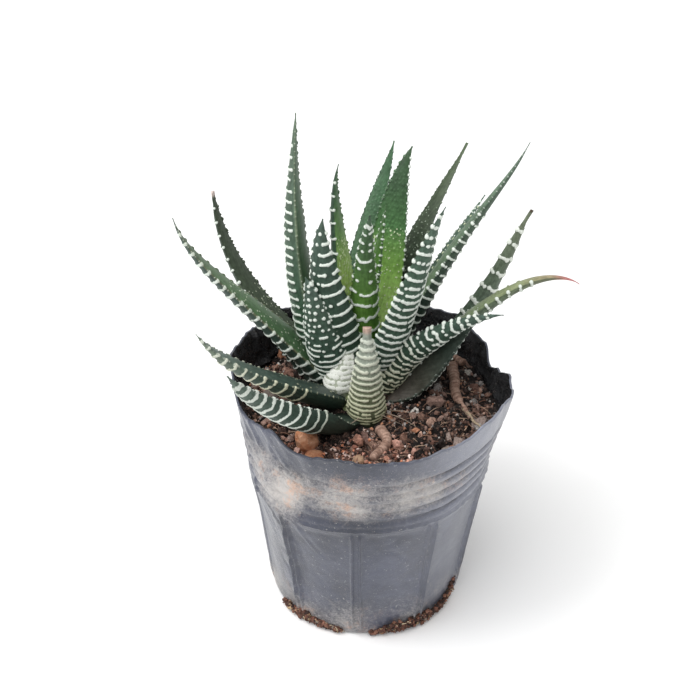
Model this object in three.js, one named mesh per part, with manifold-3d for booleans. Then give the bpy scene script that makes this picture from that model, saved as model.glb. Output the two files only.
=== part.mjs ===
// Potted haworthia: a soft nursery pot, its potting mix, a rosette of banded leaves on a short
// crown, a small offset in front of it, thick roots and pebbles on the mix, and mix stuck to the foot.
//
// Units are millimetres and +Z is up. The origin is the centre of the pot's base, on the surface that
// the pot stands on. Azimuths are degrees about +Z: 0 is +X (right), 90 is +Y (back), 270 is the front.
import * as THREE from 'three';
import Module from 'manifold-3d';

const wasm = await Module();
wasm.setup();

// ---------------------------------------------------------------- driving dimensions
const CLEARANCE = 0.3;          // gap between pieces that touch
const POT_TOP_RADIUS = 45;      // a 9 cm pot
const POT_BASE_RADIUS = 32.4;
const POT_HEIGHT = 83;
const POT_WALL = 1.2;
const FOOT_ROUNDING = 1.6;
const LEAN_FROM = 56;           // height from which the wall may lean in or out
const PRESS_DEPTH = 1.6;        // how far the soft wall is pressed in on its left
const PRESS_AT = 190;           // azimuth of the middle of that hollow
const PRESS_SPAN = 60;          // degrees that it reaches to each side
const PRESS_FULL = 44;          // height from which it has its full depth
const RIB_COUNT = 10;           // double ribs round the lower wall
const RIB_TURN = 265;           // azimuth of the rib nearest to the front
const RIB_HEIGHT = 0.6;
const RIB_TOP = 50;
const RING_LINE = 53;           // raised line over the ribs
const GROOVES = [57, 61, 65, 69];
const GROOVE_DEPTH = 0.5;
const RIM_TEARS = [[9, 0, 0.45], [17, 40, 0.35]];  // waves round the rim: count, phase and height
const SOIL_LEVEL = 72;          // at the wall; the mix is heaped a little round the plant
const SOIL_HEAP = 2;
const SOIL_LUMP = 0.9;
const SOIL_GAP = 0.45;          // between the mix and the wall, where the wall is dented
const DRAIN_HOLES = 6;
const DRAIN_RADIUS = 2;         // of a hole
const DRAIN_CIRCLE = 21;        // that the holes stand on

const CROWN = [-2, 10];         // where the rosette's axis meets the plan
const CROWN_PROFILE = [[6, 64], [6.2, 75], [4.6, 83], [2.6, 89], [1.2, 93]];
const OFFSET_CROWN = [-4, -2.5];
const OFFSET_PROFILE = [[3.6, 67], [3.8, 76], [2, 80]];

const BAND_PITCH = 8;           // a raised tubercle band and the dip beside it
const BAND_HEIGHT = 0.5;
const TOOTH_LENGTH = 0.45;      // band ends that stand out from the margins
const LEAF_ROOT = 3;            // length of the leaf base inside the crown
const LEAF_THICKNESS = 0.4;     // of its width
const BASE_FULLNESS = 0.8;      // of its width, at its base
const FULL_FROM = 0.12;         // share of its length where it has its full width
const SHOULDER = 0.9;           // how its sides run into the point
const DOME_POWER = 0.6;         // of the outer face's section
const INNER_RISE = 0.08;        // of its width, at the middle of the inner face
const RAISED_TO = 0.97;         // share of its length that the bands reach
const TIP_WIDTH = 1;
const LEAST_ROWS = 8;           // in the room that a leaf takes
const ROOM_SPARE = 0.25;        // that the room stands over the bands' clearance

const COLOURS = {
  pot: { color: 0x565b63, roughness: 0.55 },
  soil: { color: 0x3a2a20, roughness: 1 },
  leaf: { color: 0x3f6350, roughness: 0.5 },
  youngLeaf: { color: 0x6f9a3c, roughness: 0.5 },
  paleLeaf: { color: 0xb9c2b4, roughness: 0.6 },
  crown: { color: 0x9aa878, roughness: 0.7 },
  root: { color: 0x8a6448, roughness: 0.8 },
  orangeStone: { color: 0xb0623a, roughness: 0.9 },
  paleStone: { color: 0x9a8d82, roughness: 0.9 },
};

// The torn rim: azimuth, height over POT_HEIGHT and how far the wall leans out there.
const RIM = [
  [0, -1, 1.5], [12, -4, 0.5], [20, -6, 0], [27, 0, 0], [45, 2, 0], [90, 2, 0], [140, 3, 0],
  [170, 3, 0.2], [186, 0.5, -0.8], [200, -1.5, -1.1], [214, -1, -1.8], [228, 3, -2], [238, -1, -1],
  [248, -0.5, -0.3], [265, 1, 0], [290, 0, 0], [315, 1.5, 0], [335, 1.5, 0.5], [348, 0.5, 2], [360, -1, 1.5],
];

// The offset's three leaves, then the rosette's from its heart outwards: a leaf gives way to those before
// it. az is where a leaf heads, r and z are its base's distance from the crown's axis and its height. It
// climbs at rise degrees at its base and at tip degrees at its point: bend says how late that changes,
// flick adds to it near the point, swing turns it sideways and roll turns it about its own length. taper
// is how late it narrows.
const LEAVES = [
  { name: 'offset_leaf_front', az: 270, r: 4, z: 72, rise: 86, tip: 92, length: 35, width: 12,
    taper: 1.6, tipWidth: 3, pale: true, from: [0, -3.5] },
  { name: 'offset_leaf_bulb', az: 222, r: 4, z: 79, rise: 86, tip: 118, length: 19, width: 13,
    thickness: 0.55, taper: 1.3, tipWidth: 1.2, pale: true, from: [-4.5, 3.5] },
  { name: 'offset_leaf_small', az: 80, r: 2, z: 74, rise: 84, tip: 88, length: 13, width: 7,
    from: [-3.5, -1.5] },
  { name: 'leaf_01', az: 30, r: 2, z: 92, rise: 83, tip: 79, length: 45, width: 7, young: true },
  { name: 'leaf_02', az: 268, r: 2, z: 91, rise: 84, tip: 58, swing: 10, length: 59, width: 10,
    young: true, from: [-0.8, 10] },
  { name: 'leaf_03', az: 140, r: 4, z: 89, rise: 96, tip: 77, bend: 0.3, flick: 30, roll: 18,
    length: 61, width: 14, young: true },
  { name: 'leaf_04', az: 54, r: 4, z: 87, rise: 57, tip: 80, bend: 0.3, flick: -42, roll: 25,
    length: 66, width: 14.5, taper: 2.2, young: true },
  { name: 'leaf_05', az: 219, r: 5, z: 85, rise: 75, tip: 102, bend: 4, flick: -1, swing: -4, roll: 30,
    length: 55, width: 15, taper: 2.2 },
  { name: 'leaf_06', az: 95, r: 7, z: 82, rise: 53, tip: 51, bend: 0.8, flick: 22, swing: -48,
    roll: 20, length: 71, width: 11, taper: 1.8 },
  { name: 'leaf_07', az: 321, r: 5, z: 83, rise: 64, tip: 73, bend: 0.5, flick: -11, length: 70,
    width: 17 },
  { name: 'leaf_08', az: 46, r: 8, z: 80, rise: 85, tip: 36, bend: 0.6, flick: 14, length: 77,
    width: 12.5, taper: 1.2 },
  { name: 'leaf_09', az: 173, r: 7, z: 79, rise: 47, tip: 93, bend: 0.3, flick: -1, roll: -5,
    length: 90, width: 16.5, thickness: 0.5 },
  { name: 'leaf_10', az: 1, r: 6, z: 81, rise: 64, tip: 29, bend: 3, flick: 38, swing: 2,
    roll: -8, length: 89, width: 12 },
  { name: 'leaf_11', az: 31, r: 9, z: 80, rise: 57, tip: 49, length: 63, width: 9 },
  { name: 'leaf_12', az: 216, r: 7, z: 79, rise: 46, tip: 85, bend: 0.35, flick: -22, swing: 4, roll: 32,
    length: 44.5, width: 14.5, taper: 1.8 },
  { name: 'leaf_13', az: 152, r: 8, z: 75, rise: 25, tip: 88, bend: 1.4, flick: -2, length: 76,
    width: 9.5, taper: 2.6 },
  { name: 'leaf_14', az: 353, r: 8, z: 75, rise: 46, tip: -41, bend: 4.7, swing: 12, roll: -14,
    length: 76.5, width: 11, taper: 1.9 },
  { name: 'leaf_15', az: 12, r: 9, z: 76, rise: 8, tip: 79, bend: 0.6, flick: -22, swing: 6, roll: -65,
    length: 74, width: 10.5, taper: 2.6 },
  { name: 'leaf_16', az: 190, r: 7, z: 75, rise: 55, tip: 46, bend: 0.45, flick: 32, swing: 8, roll: -9,
    length: 83, width: 14.5 },
  { name: 'leaf_17', az: 334, r: 9, z: 75, rise: 82, tip: 29, bend: 0.5, flick: -15, roll: -50,
    length: 56, width: 12, taper: 1.9 },
  { name: 'leaf_18', az: 339, r: 9, z: 72, rise: 26, tip: 61, bend: 0.4, flick: -15, roll: 50, length: 44,
    width: 14 },
  { name: 'leaf_19', az: 230, r: 8, z: 73, rise: 35, tip: 36, bend: 1, flick: 25, swing: -34, roll: 5,
    length: 67, width: 14, taper: 2.2 },
  { name: 'leaf_20', az: 238, r: 7, z: 74, rise: 20, tip: 46, bend: 0.35, flick: 14, swing: -12, roll: 45,
    length: 69, width: 11, taper: 2.2, from: [-3, -5] },
  { name: 'leaf_21', az: 183, r: 8, z: 72, rise: 34, tip: 50, bend: 0.4, flick: -6, length: 30,
    width: 11 },
  { name: 'leaf_22', az: 104, r: 9, z: 73, rise: 25, tip: 45, length: 28, width: 12 },
  { name: 'leaf_23', az: 70, r: 9, z: 74, rise: 28, tip: 45, length: 30, width: 12 },
  { name: 'leaf_24', az: 36, r: 9, z: 72, rise: 15, tip: 25, length: 28, width: 11 },
];

// Thick roots that lie on the mix: points along each root in plan, and its diameter.
const ROOT_SEAT = 0.55;         // share of its radius from the mix up to its middle line
const ROOTS = [
  { name: 'root_right', points: [[29.3, 21], [29.6, 12], [29.2, 5], [32.3, -6]], diameter: 4 },
  { name: 'root_back', points: [[26.5, 29.5], [30, 26], [33.7, 22]], diameter: 3.6 },
  { name: 'root_front', points: [[4.2, -15], [6, -21.5], [1.5, -29]], diameter: 3.6 },
];

// Pebbles: centre in plan, size, and the seed of the shape.
const PEBBLES = [
  { name: 'pebble_orange', at: [-18.6, -21.6], size: 9, seed: 3, colour: 'orangeStone' },
  { name: 'pebble_beside', at: [-16, -28], size: 5.6, seed: 5, colour: 'orangeStone' },
  { name: 'pebble_left', at: [-31, 3], size: 5, seed: 8, colour: 'paleStone' },
  { name: 'pebble_front', at: [-2.5, -29.5], size: 3.8, seed: 13, colour: 'paleStone' },
  { name: 'pebble_right', at: [24.5, -27], size: 3.8, seed: 21, colour: 'paleStone' },
];

const PEBBLE_FLATNESS = 0.85;   // height over width
const PEBBLE_SEAT = 0.22;       // share of its size from the mix up to its centre

// Potting mix stuck to the foot of the pot: from and to azimuth, height and how far it stands out.
const SPILLS = [
  { name: 'spill_left', start: 212, end: 256, height: 4.2, depth: 2.2, seed: 4 },
  { name: 'spill_right', start: 272, end: 336, height: 5.2, depth: 2.6, seed: 9 },
];

// ---------------------------------------------------------------- small helpers
const radians = THREE.MathUtils.degToRad;
const lerp = THREE.MathUtils.lerp;
const smooth = (x) => THREE.MathUtils.smoothstep(x, 0, 1);

// A repeatable random number in 0..1 for a whole-number seed.
function chance(seed) {
  const x = Math.sin(seed * 127.1 + 311.7) * 43758.5453;
  return x - Math.floor(x);
}

// Triangles of a closed body whose rings, of equal count, run counterclockwise seen from the last ring.
function loft(rings) {
  const positions = rings.flat(2);
  const count = rings[0].length;
  const triangles = [];
  for (let i = 0; i + 1 < rings.length; i += 1) {
    for (let j = 0; j < count; j += 1) {
      const a = i * count + j;
      const b = i * count + (j + 1) % count;
      triangles.push(a, b, b + count, a, b + count, a + count);
    }
  }
  const last = (rings.length - 1) * count;
  for (const [ring, corner] of [[rings[0], 0], [rings[rings.length - 1], last]]) {
    const centre = positions.length / 3;
    positions.push(...[0, 1, 2].map((k) => ring.reduce((sum, point) => sum + point[k], 0) / count));
    for (let j = 0; j < count; j += 1) {
      const a = corner + j;
      const b = corner + (j + 1) % count;
      triangles.push(...(corner === 0 ? [b, a, centre] : [a, b, centre]));
    }
  }
  return solid(positions, triangles);
}

function solid(positions, triangles) {
  return new wasm.Manifold(new wasm.Mesh({
    numProp: 3,
    vertProperties: new Float32Array(positions),
    triVerts: new Uint32Array(triangles),
  }));
}

function largestBody(body) {
  return body.decompose().reduce((best, next) => (next.volume() > best.volume() ? next : best));
}

function toMesh(body, name, look) {
  const { vertProperties, triVerts } = body.getMesh();
  const geometry = new THREE.BufferGeometry();
  geometry.setAttribute('position', new THREE.BufferAttribute(vertProperties, 3));
  geometry.setIndex(new THREE.BufferAttribute(triVerts, 1));
  geometry.computeVertexNormals();
  const mesh = new THREE.Mesh(geometry, new THREE.MeshStandardMaterial({ metalness: 0, ...look }));
  mesh.name = name;
  return mesh;
}

// ---------------------------------------------------------------- pot
// Columns of the outer wall. A double rib is two raised columns with a dip between them, and plain
// columns fill the span up to the next one.
const RIB_SPAN = 360 / RIB_COUNT;
const RIB_COLUMNS = [[-3.2, 0], [-1.6, 1], [0, 0], [1.6, 1], [3.2, 0], [13, 0], [23, 0]];
const OUTER_COLUMNS = [];
for (let rib = 0; rib < RIB_COUNT; rib += 1) {
  for (const [turn, raised] of RIB_COLUMNS) {
    OUTER_COLUMNS.push({ azimuth: RIB_TURN + rib * RIB_SPAN + turn, raised });
  }
}
const INNER_COUNT = 32;
const OVER_RIM = POT_HEIGHT + 6;
const INNER_COLUMNS = Array.from({ length: INNER_COUNT }, (_, column) => (
  { azimuth: column * 360 / INNER_COUNT }));
const SOIL_EDGE = SOIL_LEVEL - 0.5;
const INNER_LEVELS = [POT_WALL, LEAN_FROM, (LEAN_FROM + SOIL_LEVEL) / 2, SOIL_EDGE];

function rimAt(azimuth) {
  const turn = ((azimuth % 360) + 360) % 360;
  const next = Math.max(1, RIM.findIndex(([stop]) => stop >= turn));
  const [from, to] = [RIM[next - 1], RIM[next]];
  const share = smooth((turn - from[0]) / (to[0] - from[0]));
  const tear = RIM_TEARS.reduce((sum, [count, phase, height]) => (
    sum + height * Math.sin(radians(turn * count + phase))), 0);
  return { height: POT_HEIGHT + lerp(from[1], to[1], share) + tear, lean: lerp(from[2], to[2], share) };
}

// Radius of the plain wall, pressed in on its left, with the rim's lean easing in over its top part.
function wallRadius(azimuth, z) {
  const taper = lerp(POT_BASE_RADIUS, POT_TOP_RADIUS, z / POT_HEIGHT);
  const lean = rimAt(azimuth).lean * smooth((z - LEAN_FROM) / (POT_HEIGHT - LEAN_FROM));
  const turn = Math.abs(((azimuth - PRESS_AT + 540) % 360) - 180);
  return taper + lean - PRESS_DEPTH * smooth(1 - turn / PRESS_SPAN) * smooth(z / PRESS_FULL);
}

function wallRelief(column, z) {
  if (z > FOOT_ROUNDING && z <= RIB_TOP) {
    return RIB_HEIGHT * column.raised;
  }
  if (z === RING_LINE) {
    return RIB_HEIGHT;
  }
  return GROOVES.includes(z) ? -GROOVE_DEPTH : 0;
}

// One ring of the outer wall at height z, which stops at the rim, inset from the plain wall.
function outerRing(z, inset = 0) {
  return OUTER_COLUMNS.map((column) => {
    const height = Math.min(z, rimAt(column.azimuth).height);
    const radius = wallRadius(column.azimuth, height) - inset + wallRelief(column, z);
    const angle = radians(column.azimuth);
    return [radius * Math.cos(angle), radius * Math.sin(angle), height];
  });
}

// One ring inside the wall. Over the rim it goes straight up.
function innerRing(z, inset) {
  return INNER_COLUMNS.map(({ azimuth }) => {
    const radius = wallRadius(azimuth, Math.min(z, rimAt(azimuth).height)) - inset;
    const angle = radians(azimuth);
    return [radius * Math.cos(angle), radius * Math.sin(angle), z];
  });
}

function makePot() {
  const levels = [FOOT_ROUNDING, FOOT_ROUNDING + 1.5, RIB_TOP, RING_LINE - 1, RING_LINE, RING_LINE + 1];
  for (const groove of GROOVES) {
    levels.push(groove - 2, groove);
  }
  levels.push(GROOVES[GROOVES.length - 1] + 2, Infinity);
  const block = loft([outerRing(0, FOOT_ROUNDING), ...levels.map((z) => outerRing(z))]);
  const cavity = loft([...INNER_LEVELS, OVER_RIM].map((z) => innerRing(z, POT_WALL)));
  let pot = block.subtract(cavity);
  for (let hole = 0; hole < DRAIN_HOLES; hole += 1) {
    const angle = (hole + 0.5) * 2 * Math.PI / DRAIN_HOLES;
    pot = pot.subtract(drainPlug(DRAIN_CIRCLE * Math.cos(angle), DRAIN_CIRCLE * Math.sin(angle)));
  }
  return pot;
}

function drainPlug(x, y) {
  const sides = 10;
  const ring = (z) => Array.from({ length: sides }, (_, side) => {
    const angle = side * 2 * Math.PI / sides;
    return [x + DRAIN_RADIUS * Math.cos(angle), y + DRAIN_RADIUS * Math.sin(angle), z];
  });
  return loft([ring(-1), ring(POT_WALL + 1)]);
}

// ---------------------------------------------------------------- potting mix
// Height of the mix's crumbly top: a low heap round the plant and lumps of a few millimetres.
function soilHeight(x, y) {
  const distance = Math.hypot(x - CROWN[0], y - CROWN[1]);
  const heap = SOIL_HEAP * smooth(1 - distance / 36);
  const lumps = Math.sin(x * 0.71 + 1.3 * Math.sin(y * 0.37)) * Math.cos(y * 0.83 + Math.sin(x * 0.29))
    + 0.6 * Math.sin(x * 1.37 - y * 1.11 + 2);
  const edge = smooth((41 - Math.hypot(x, y)) / 8);
  return SOIL_LEVEL + heap + SOIL_LUMP * lumps * edge;
}

function makeSoil() {
  const shares = [0.9, 0.76, 0.6, 0.42, 0.22];
  const sides = INNER_LEVELS.map((z) => innerRing(z, POT_WALL + SOIL_GAP));
  sides[0] = sides[0].map(([x, y, z]) => [x, y, z + CLEARANCE]);
  const edge = sides[sides.length - 1];
  const topPoint = (x, y) => [x, y, soilHeight(x, y)];
  const top = shares.map((share) => edge.map(([x, y]) => topPoint(x * share, y * share)));
  return loft([...sides, ...top]);
}

// ---------------------------------------------------------------- crowns
function makeCrown([x, y], profile, grow) {
  const sides = 10;
  const grown = profile.map(([radius, z], index, all) => {
    const shift = index === 0 ? -grow : (index === all.length - 1 ? grow : 0);
    return Array.from({ length: sides }, (_, side) => {
      const angle = side * 2 * Math.PI / sides;
      return [x + (radius + grow) * Math.cos(angle), y + (radius + grow) * Math.sin(angle), z + shift];
    });
  });
  return loft(grown);
}

// ---------------------------------------------------------------- leaves
// Points and directions along a leaf, in even steps from inside the crown to the tip.
function leafPath(leaf, rows) {
  const { bend = 1, flick = 0, swing = 0, roll = 0, from = CROWN } = leaf;
  const heading = radians(leaf.az);
  const place = new THREE.Vector3(
    from[0] + leaf.r * Math.cos(heading), from[1] + leaf.r * Math.sin(heading), leaf.z);
  const frameAt = (share) => {
    const azimuth = radians(leaf.az + swing * share);
    const climb = radians(leaf.rise + (leaf.tip - leaf.rise) * share ** bend + flick * share ** 6);
    const along = new THREE.Vector3(
      Math.cos(climb) * Math.cos(azimuth), Math.cos(climb) * Math.sin(azimuth), Math.sin(climb));
    const inner = new THREE.Vector3(
      -Math.sin(climb) * Math.cos(azimuth), -Math.sin(climb) * Math.sin(azimuth), Math.cos(climb));
    inner.applyAxisAngle(along, radians(roll) * smooth(share * 3));
    return { along, inner, side: new THREE.Vector3().crossVectors(inner, along) };
  };
  const first = frameAt(0);
  const path = [{ share: 0, at: place.clone().addScaledVector(first.along, -LEAF_ROOT), ...first }];
  const steps = rows * 4;
  for (let step = 0; step <= steps; step += 1) {
    const frame = frameAt(step / steps);
    if (step > 0) {
      place.addScaledVector(frameAt((step - 0.5) / steps).along, leaf.length / steps);
    }
    if (step % 4 === 0) {
      path.push({ share: step / steps, at: place.clone(), ...frame });
    }
  }
  return path;
}

// Places across the outer face, from -1 to 1, where a leaf's section and its room's section have corners.
const OUTER_STATIONS = [-0.72, -0.38, 0, 0.38, 0.72];
const ROOM_STATIONS = [-0.62, 0, 0.62];

// A leaf is nearly flat inside and domed outside. The outer face rises into a band on every second row,
// and each band's ends stand out from the margins as teeth.
function leafRing(leaf, row, raised, grow, stations = OUTER_STATIONS) {
  const { taper = 1.4, thickness = LEAF_THICKNESS, tipWidth = TIP_WIDTH } = leaf;
  const fullness = lerp(BASE_FULLNESS, 1, Math.min(1, row.share / FULL_FROM));
  const width = Math.max(leaf.width * fullness * (1 - row.share ** taper) ** SHOULDER, tipWidth);
  const half = width / 2;
  const depth = width * thickness;
  const lift = raised ? Math.min(BAND_HEIGHT, depth / 2) : 0;
  const margin = half + grow + (raised ? TOOTH_LENGTH : 0);
  const section = [[margin, 0], [0, width * INNER_RISE + grow], [-margin, 0]];
  for (const station of stations) {
    const dome = depth * (1 - station ** 2) ** DOME_POWER;
    section.push([station * (half + lift + grow), -dome - lift - grow]);
  }
  return section.map(([across, up]) => row.at.clone()
    .addScaledVector(row.side, across)
    .addScaledVector(row.inner, up)
    .toArray());
}

function leafRows(leaf) {
  return 2 * Math.round(leaf.length / BAND_PITCH);
}

function makeLeaf(leaf) {
  const path = leafPath(leaf, leafRows(leaf));
  const isRaised = (row, index) => index > 1 && index % 2 === 0 && row.share < RAISED_TO;
  return loft(path.map((row, index) => leafRing(leaf, row, isRaised(row, index), 0)));
}

// The room that a leaf takes, bands and clearance included, which the leaves outside it are cut by.
function leafRoom(leaf) {
  const grow = CLEARANCE + BAND_HEIGHT + ROOM_SPARE;
  const path = leafPath(leaf, Math.max(leafRows(leaf), LEAST_ROWS));
  return loft(path.map((row) => leafRing(leaf, row, false, grow, ROOM_STATIONS)));
}

// ---------------------------------------------------------------- roots, pebbles and spilt mix
function makeRoot(root, grow) {
  const sides = 6;
  const radius = root.diameter / 2;
  const points = root.points.map(([x, y]) => new THREE.Vector3(x, y, soilHeight(x, y) + radius * ROOT_SEAT));
  const curve = new THREE.CatmullRomCurve3(points);
  const steps = 6;
  const rings = [];
  for (let step = 0; step <= steps; step += 1) {
    const share = step / steps;
    const along = curve.getTangentAt(share);
    const across = new THREE.Vector3().crossVectors(new THREE.Vector3(0, 0, 1), along).normalize();
    const up = new THREE.Vector3().crossVectors(along, across);
    const end = share === 0 ? -grow : (share === 1 ? grow : 0);
    const at = curve.getPointAt(share).addScaledVector(along, end);
    const thin = radius * (1 - 0.35 * share) * (step % 2 ? 1.06 : 0.94) + grow;
    rings.push(Array.from({ length: sides }, (_, side) => {
      const angle = side * 2 * Math.PI / sides;
      return at.clone()
        .addScaledVector(across, thin * Math.cos(angle))
        .addScaledVector(up, thin * Math.sin(angle))
        .toArray();
    }));
  }
  return loft(rings);
}

function makePebble(pebble, grow) {
  const sides = 7;
  const [x, y] = pebble.at;
  const z = soilHeight(x, y) + pebble.size * PEBBLE_SEAT;
  const rings = [];
  for (let level = 0; level <= 4; level += 1) {
    const tilt = lerp(-76, 76, level / 4);
    rings.push(Array.from({ length: sides }, (_, side) => {
      const bump = 0.8 + 0.35 * chance(pebble.seed * 50 + level * 7 + side);
      const radius = pebble.size / 2 * bump + grow;
      const angle = side * 2 * Math.PI / sides + 0.3 * level;
      const reach = radius * Math.cos(radians(tilt));
      const rise = PEBBLE_FLATNESS * radius * Math.sin(radians(tilt));
      return [x + reach * Math.cos(angle), y + reach * Math.sin(angle), z + rise];
    }));
  }
  return loft(rings);
}

function makeSpill(spill) {
  const steps = 10;
  const rings = [];
  for (let step = 0; step <= steps; step += 1) {
    const share = step / steps;
    const azimuth = lerp(spill.start, spill.end, share);
    const swell = Math.sin(Math.PI * (0.08 + 0.84 * share)) * (0.75 + 0.5 * chance(spill.seed + step));
    const height = Math.max(1.4, spill.height * swell);
    const depth = Math.max(1, spill.depth * swell);
    const angle = radians(azimuth);
    const inside = (z) => wallRadius(azimuth, z) + RIB_HEIGHT + CLEARANCE;
    const foot = 0.4;
    const corners = [
      [inside(height), height], [inside(height) + depth * 0.3, height * 0.95],
      [inside(foot) + depth, foot + height * 0.35], [inside(foot) + depth * 0.8, foot], [inside(foot), foot],
    ];
    rings.push(corners.map(([radius, z]) => [radius * Math.cos(angle), radius * Math.sin(angle), z]));
  }
  return loft(rings);
}

// ---------------------------------------------------------------- assembly
const plant = new THREE.Group();
plant.name = 'potted_haworthia';

plant.add(toMesh(makePot(), 'pot', COLOURS.pot));
plant.add(toMesh(makeCrown(CROWN, CROWN_PROFILE, 0), 'crown', COLOURS.crown));
plant.add(toMesh(makeCrown(OFFSET_CROWN, OFFSET_PROFILE, 0), 'offset_crown', COLOURS.crown));

// Each leaf gives way to both crowns and to the leaves inside it. The mix gives way to all of them.
let taken = makeCrown(CROWN, CROWN_PROFILE, CLEARANCE)
  .add(makeCrown(OFFSET_CROWN, OFFSET_PROFILE, CLEARANCE));
for (const leaf of LEAVES) {
  const body = largestBody(makeLeaf(leaf).subtract(taken));
  const look = leaf.young ? COLOURS.youngLeaf : (leaf.pale ? COLOURS.paleLeaf : COLOURS.leaf);
  plant.add(toMesh(body, leaf.name, look));
  taken = taken.add(leafRoom(leaf));
}
for (const root of ROOTS) {
  plant.add(toMesh(largestBody(makeRoot(root, 0).subtract(taken)), root.name, COLOURS.root));
  taken = taken.add(makeRoot(root, CLEARANCE));
}
for (const pebble of PEBBLES) {
  plant.add(toMesh(largestBody(makePebble(pebble, 0).subtract(taken)), pebble.name, COLOURS[pebble.colour]));
  taken = taken.add(makePebble(pebble, CLEARANCE));
}
plant.add(toMesh(largestBody(makeSoil().subtract(taken)), 'soil', COLOURS.soil));
for (const spill of SPILLS) {
  plant.add(toMesh(makeSpill(spill), spill.name, COLOURS.soil));
}

export default plant;
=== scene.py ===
"""Potted haworthia: the finished surfaces of the plant, its soft nursery pot and the potting mix.

Lengths are named in millimetres and meshes are written in metres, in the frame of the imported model:
+Z is up, the origin is the middle of the pot's base, and azimuth 270 is the front.
"""
import math

import bmesh
import bpy
import numpy as np
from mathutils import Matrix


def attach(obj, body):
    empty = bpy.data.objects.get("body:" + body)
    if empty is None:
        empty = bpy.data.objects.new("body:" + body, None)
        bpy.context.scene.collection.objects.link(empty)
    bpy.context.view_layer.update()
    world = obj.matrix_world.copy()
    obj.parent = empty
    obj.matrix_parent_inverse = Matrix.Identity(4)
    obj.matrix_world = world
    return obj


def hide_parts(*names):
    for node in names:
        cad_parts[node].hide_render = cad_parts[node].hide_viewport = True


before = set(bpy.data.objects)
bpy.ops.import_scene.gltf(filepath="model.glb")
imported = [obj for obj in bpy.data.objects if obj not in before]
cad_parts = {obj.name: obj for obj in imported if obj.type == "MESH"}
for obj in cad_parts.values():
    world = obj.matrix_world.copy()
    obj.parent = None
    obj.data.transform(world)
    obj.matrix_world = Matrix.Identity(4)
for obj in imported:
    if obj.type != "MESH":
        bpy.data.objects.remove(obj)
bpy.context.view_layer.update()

MM = 0.001

# ------------------------------------------------------------------ camera, floor and light
VIEW_ELEVATION = math.radians(33.7)
VIEW_DISTANCE = 380     # from the target
VIEW_TARGET = (-5.2, 0, 93.1)
VIEW_LENS = 62.07
SENSOR_WIDTH = 36
NEAREST_SEEN = 10

# A light: name, kind, place in metres, spread (a sun's angle or the side of an area) and power.
LIGHTS = [
    ("key_light", "SUN", (-0.3, -0.25, 0.85), 1.2, 1.9),
    ("spark_light", "AREA", (-0.25, -0.1, 0.55), 0.16, 0.9),
]
LIGHT_AIM = (0, 0, 0.08)
SKY_STRENGTH = 0.62
FLOOR_SIDE = 8          # in metres


def add_camera():
    camera = bpy.data.cameras.new("view_camera")
    camera.lens = VIEW_LENS
    camera.sensor_width = SENSOR_WIDTH
    camera.clip_start = NEAREST_SEEN * MM
    holder = bpy.data.objects.new("view_camera", camera)
    back = VIEW_DISTANCE * math.cos(VIEW_ELEVATION)
    up = VIEW_DISTANCE * math.sin(VIEW_ELEVATION)
    x, y, z = VIEW_TARGET
    holder.location = (x * MM, (y - back) * MM, (z + up) * MM)
    holder.rotation_euler = (math.pi / 2 - VIEW_ELEVATION, 0, 0)
    bpy.context.collection.objects.link(holder)
    bpy.context.scene.camera = holder


def add_light(name, kind, place, spread, power):
    """A soft light aimed at the plant."""
    lamp = bpy.data.lights.new(name, kind)
    if kind == "SUN":
        lamp.angle = spread
    else:
        lamp.size = spread
    lamp.energy = power
    holder = bpy.data.objects.new(name, lamp)
    holder.location = place
    aim = np.array(LIGHT_AIM) - np.array(place)
    holder.rotation_euler = (
        math.atan2(math.hypot(aim[0], aim[1]), -aim[2]), 0, math.atan2(-aim[0], aim[1]))
    bpy.context.collection.objects.link(holder)


def add_sky():
    """Even white light from all round."""
    world = bpy.data.worlds.new("soft_studio")
    bpy.context.scene.world = world
    world.use_nodes = True
    sky = world.node_tree.nodes["Background"]
    sky.inputs["Color"].default_value = (1, 1, 1, 1)
    sky.inputs["Strength"].default_value = SKY_STRENGTH
    bpy.context.scene.view_settings.view_transform = "Standard"


def add_floor():
    bpy.ops.mesh.primitive_plane_add(size=FLOOR_SIDE, location=(0, 0, 0))
    floor = bpy.context.object
    floor.name = "pale_floor"
    floor.data.materials.append(floor_material())


# ------------------------------------------------------------------ shared maths
HASH_PRIMES = (73856093, 19349663, 83492791)
HASH_STEPS = ((15, 2246822519), (13, 3266489917))
SEED_PRIME = 2654435761
WORD = 2 ** 32


def smooth(x):
    x = np.clip(x, 0, 1)
    return x * x * (3 - 2 * x)


def lerp(a, b, share):
    return a + (b - a) * share


def linear(code):
    """A colour code such as '#3f6350' as linear red, green and blue."""
    channels = np.array([int(code[i:i + 2], 16) for i in (1, 3, 5)]) / 255
    return np.where(channels <= 0.04045, channels / 12.92, ((channels + 0.055) / 1.055) ** 2.4)


def palette(codes):
    return np.array([linear(code) for code in codes])


def shades(codes, share):
    """Colours between evenly spaced colour codes, at shares 0 to 1."""
    stops = palette(codes)
    places = np.linspace(0, 1, len(codes))
    return np.stack([np.interp(share, places, stops[:, k]) for k in range(3)], -1)


def hump(x, middle, width):
    """1 at the middle, falling softly to 0 at about twice the width from it."""
    return np.exp(-((x - middle) / width) ** 2)


def polar(radius, azimuth, z):
    """Points round the pot's axis. The azimuth is in degrees."""
    angle = np.radians(azimuth)
    return np.stack(np.broadcast_arrays(radius * np.cos(angle), radius * np.sin(angle), z), -1)


def on_line(x):
    """Points along a line, for noise that varies with one number."""
    return np.stack([x, 0 * x, 0 * x], -1)


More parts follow.
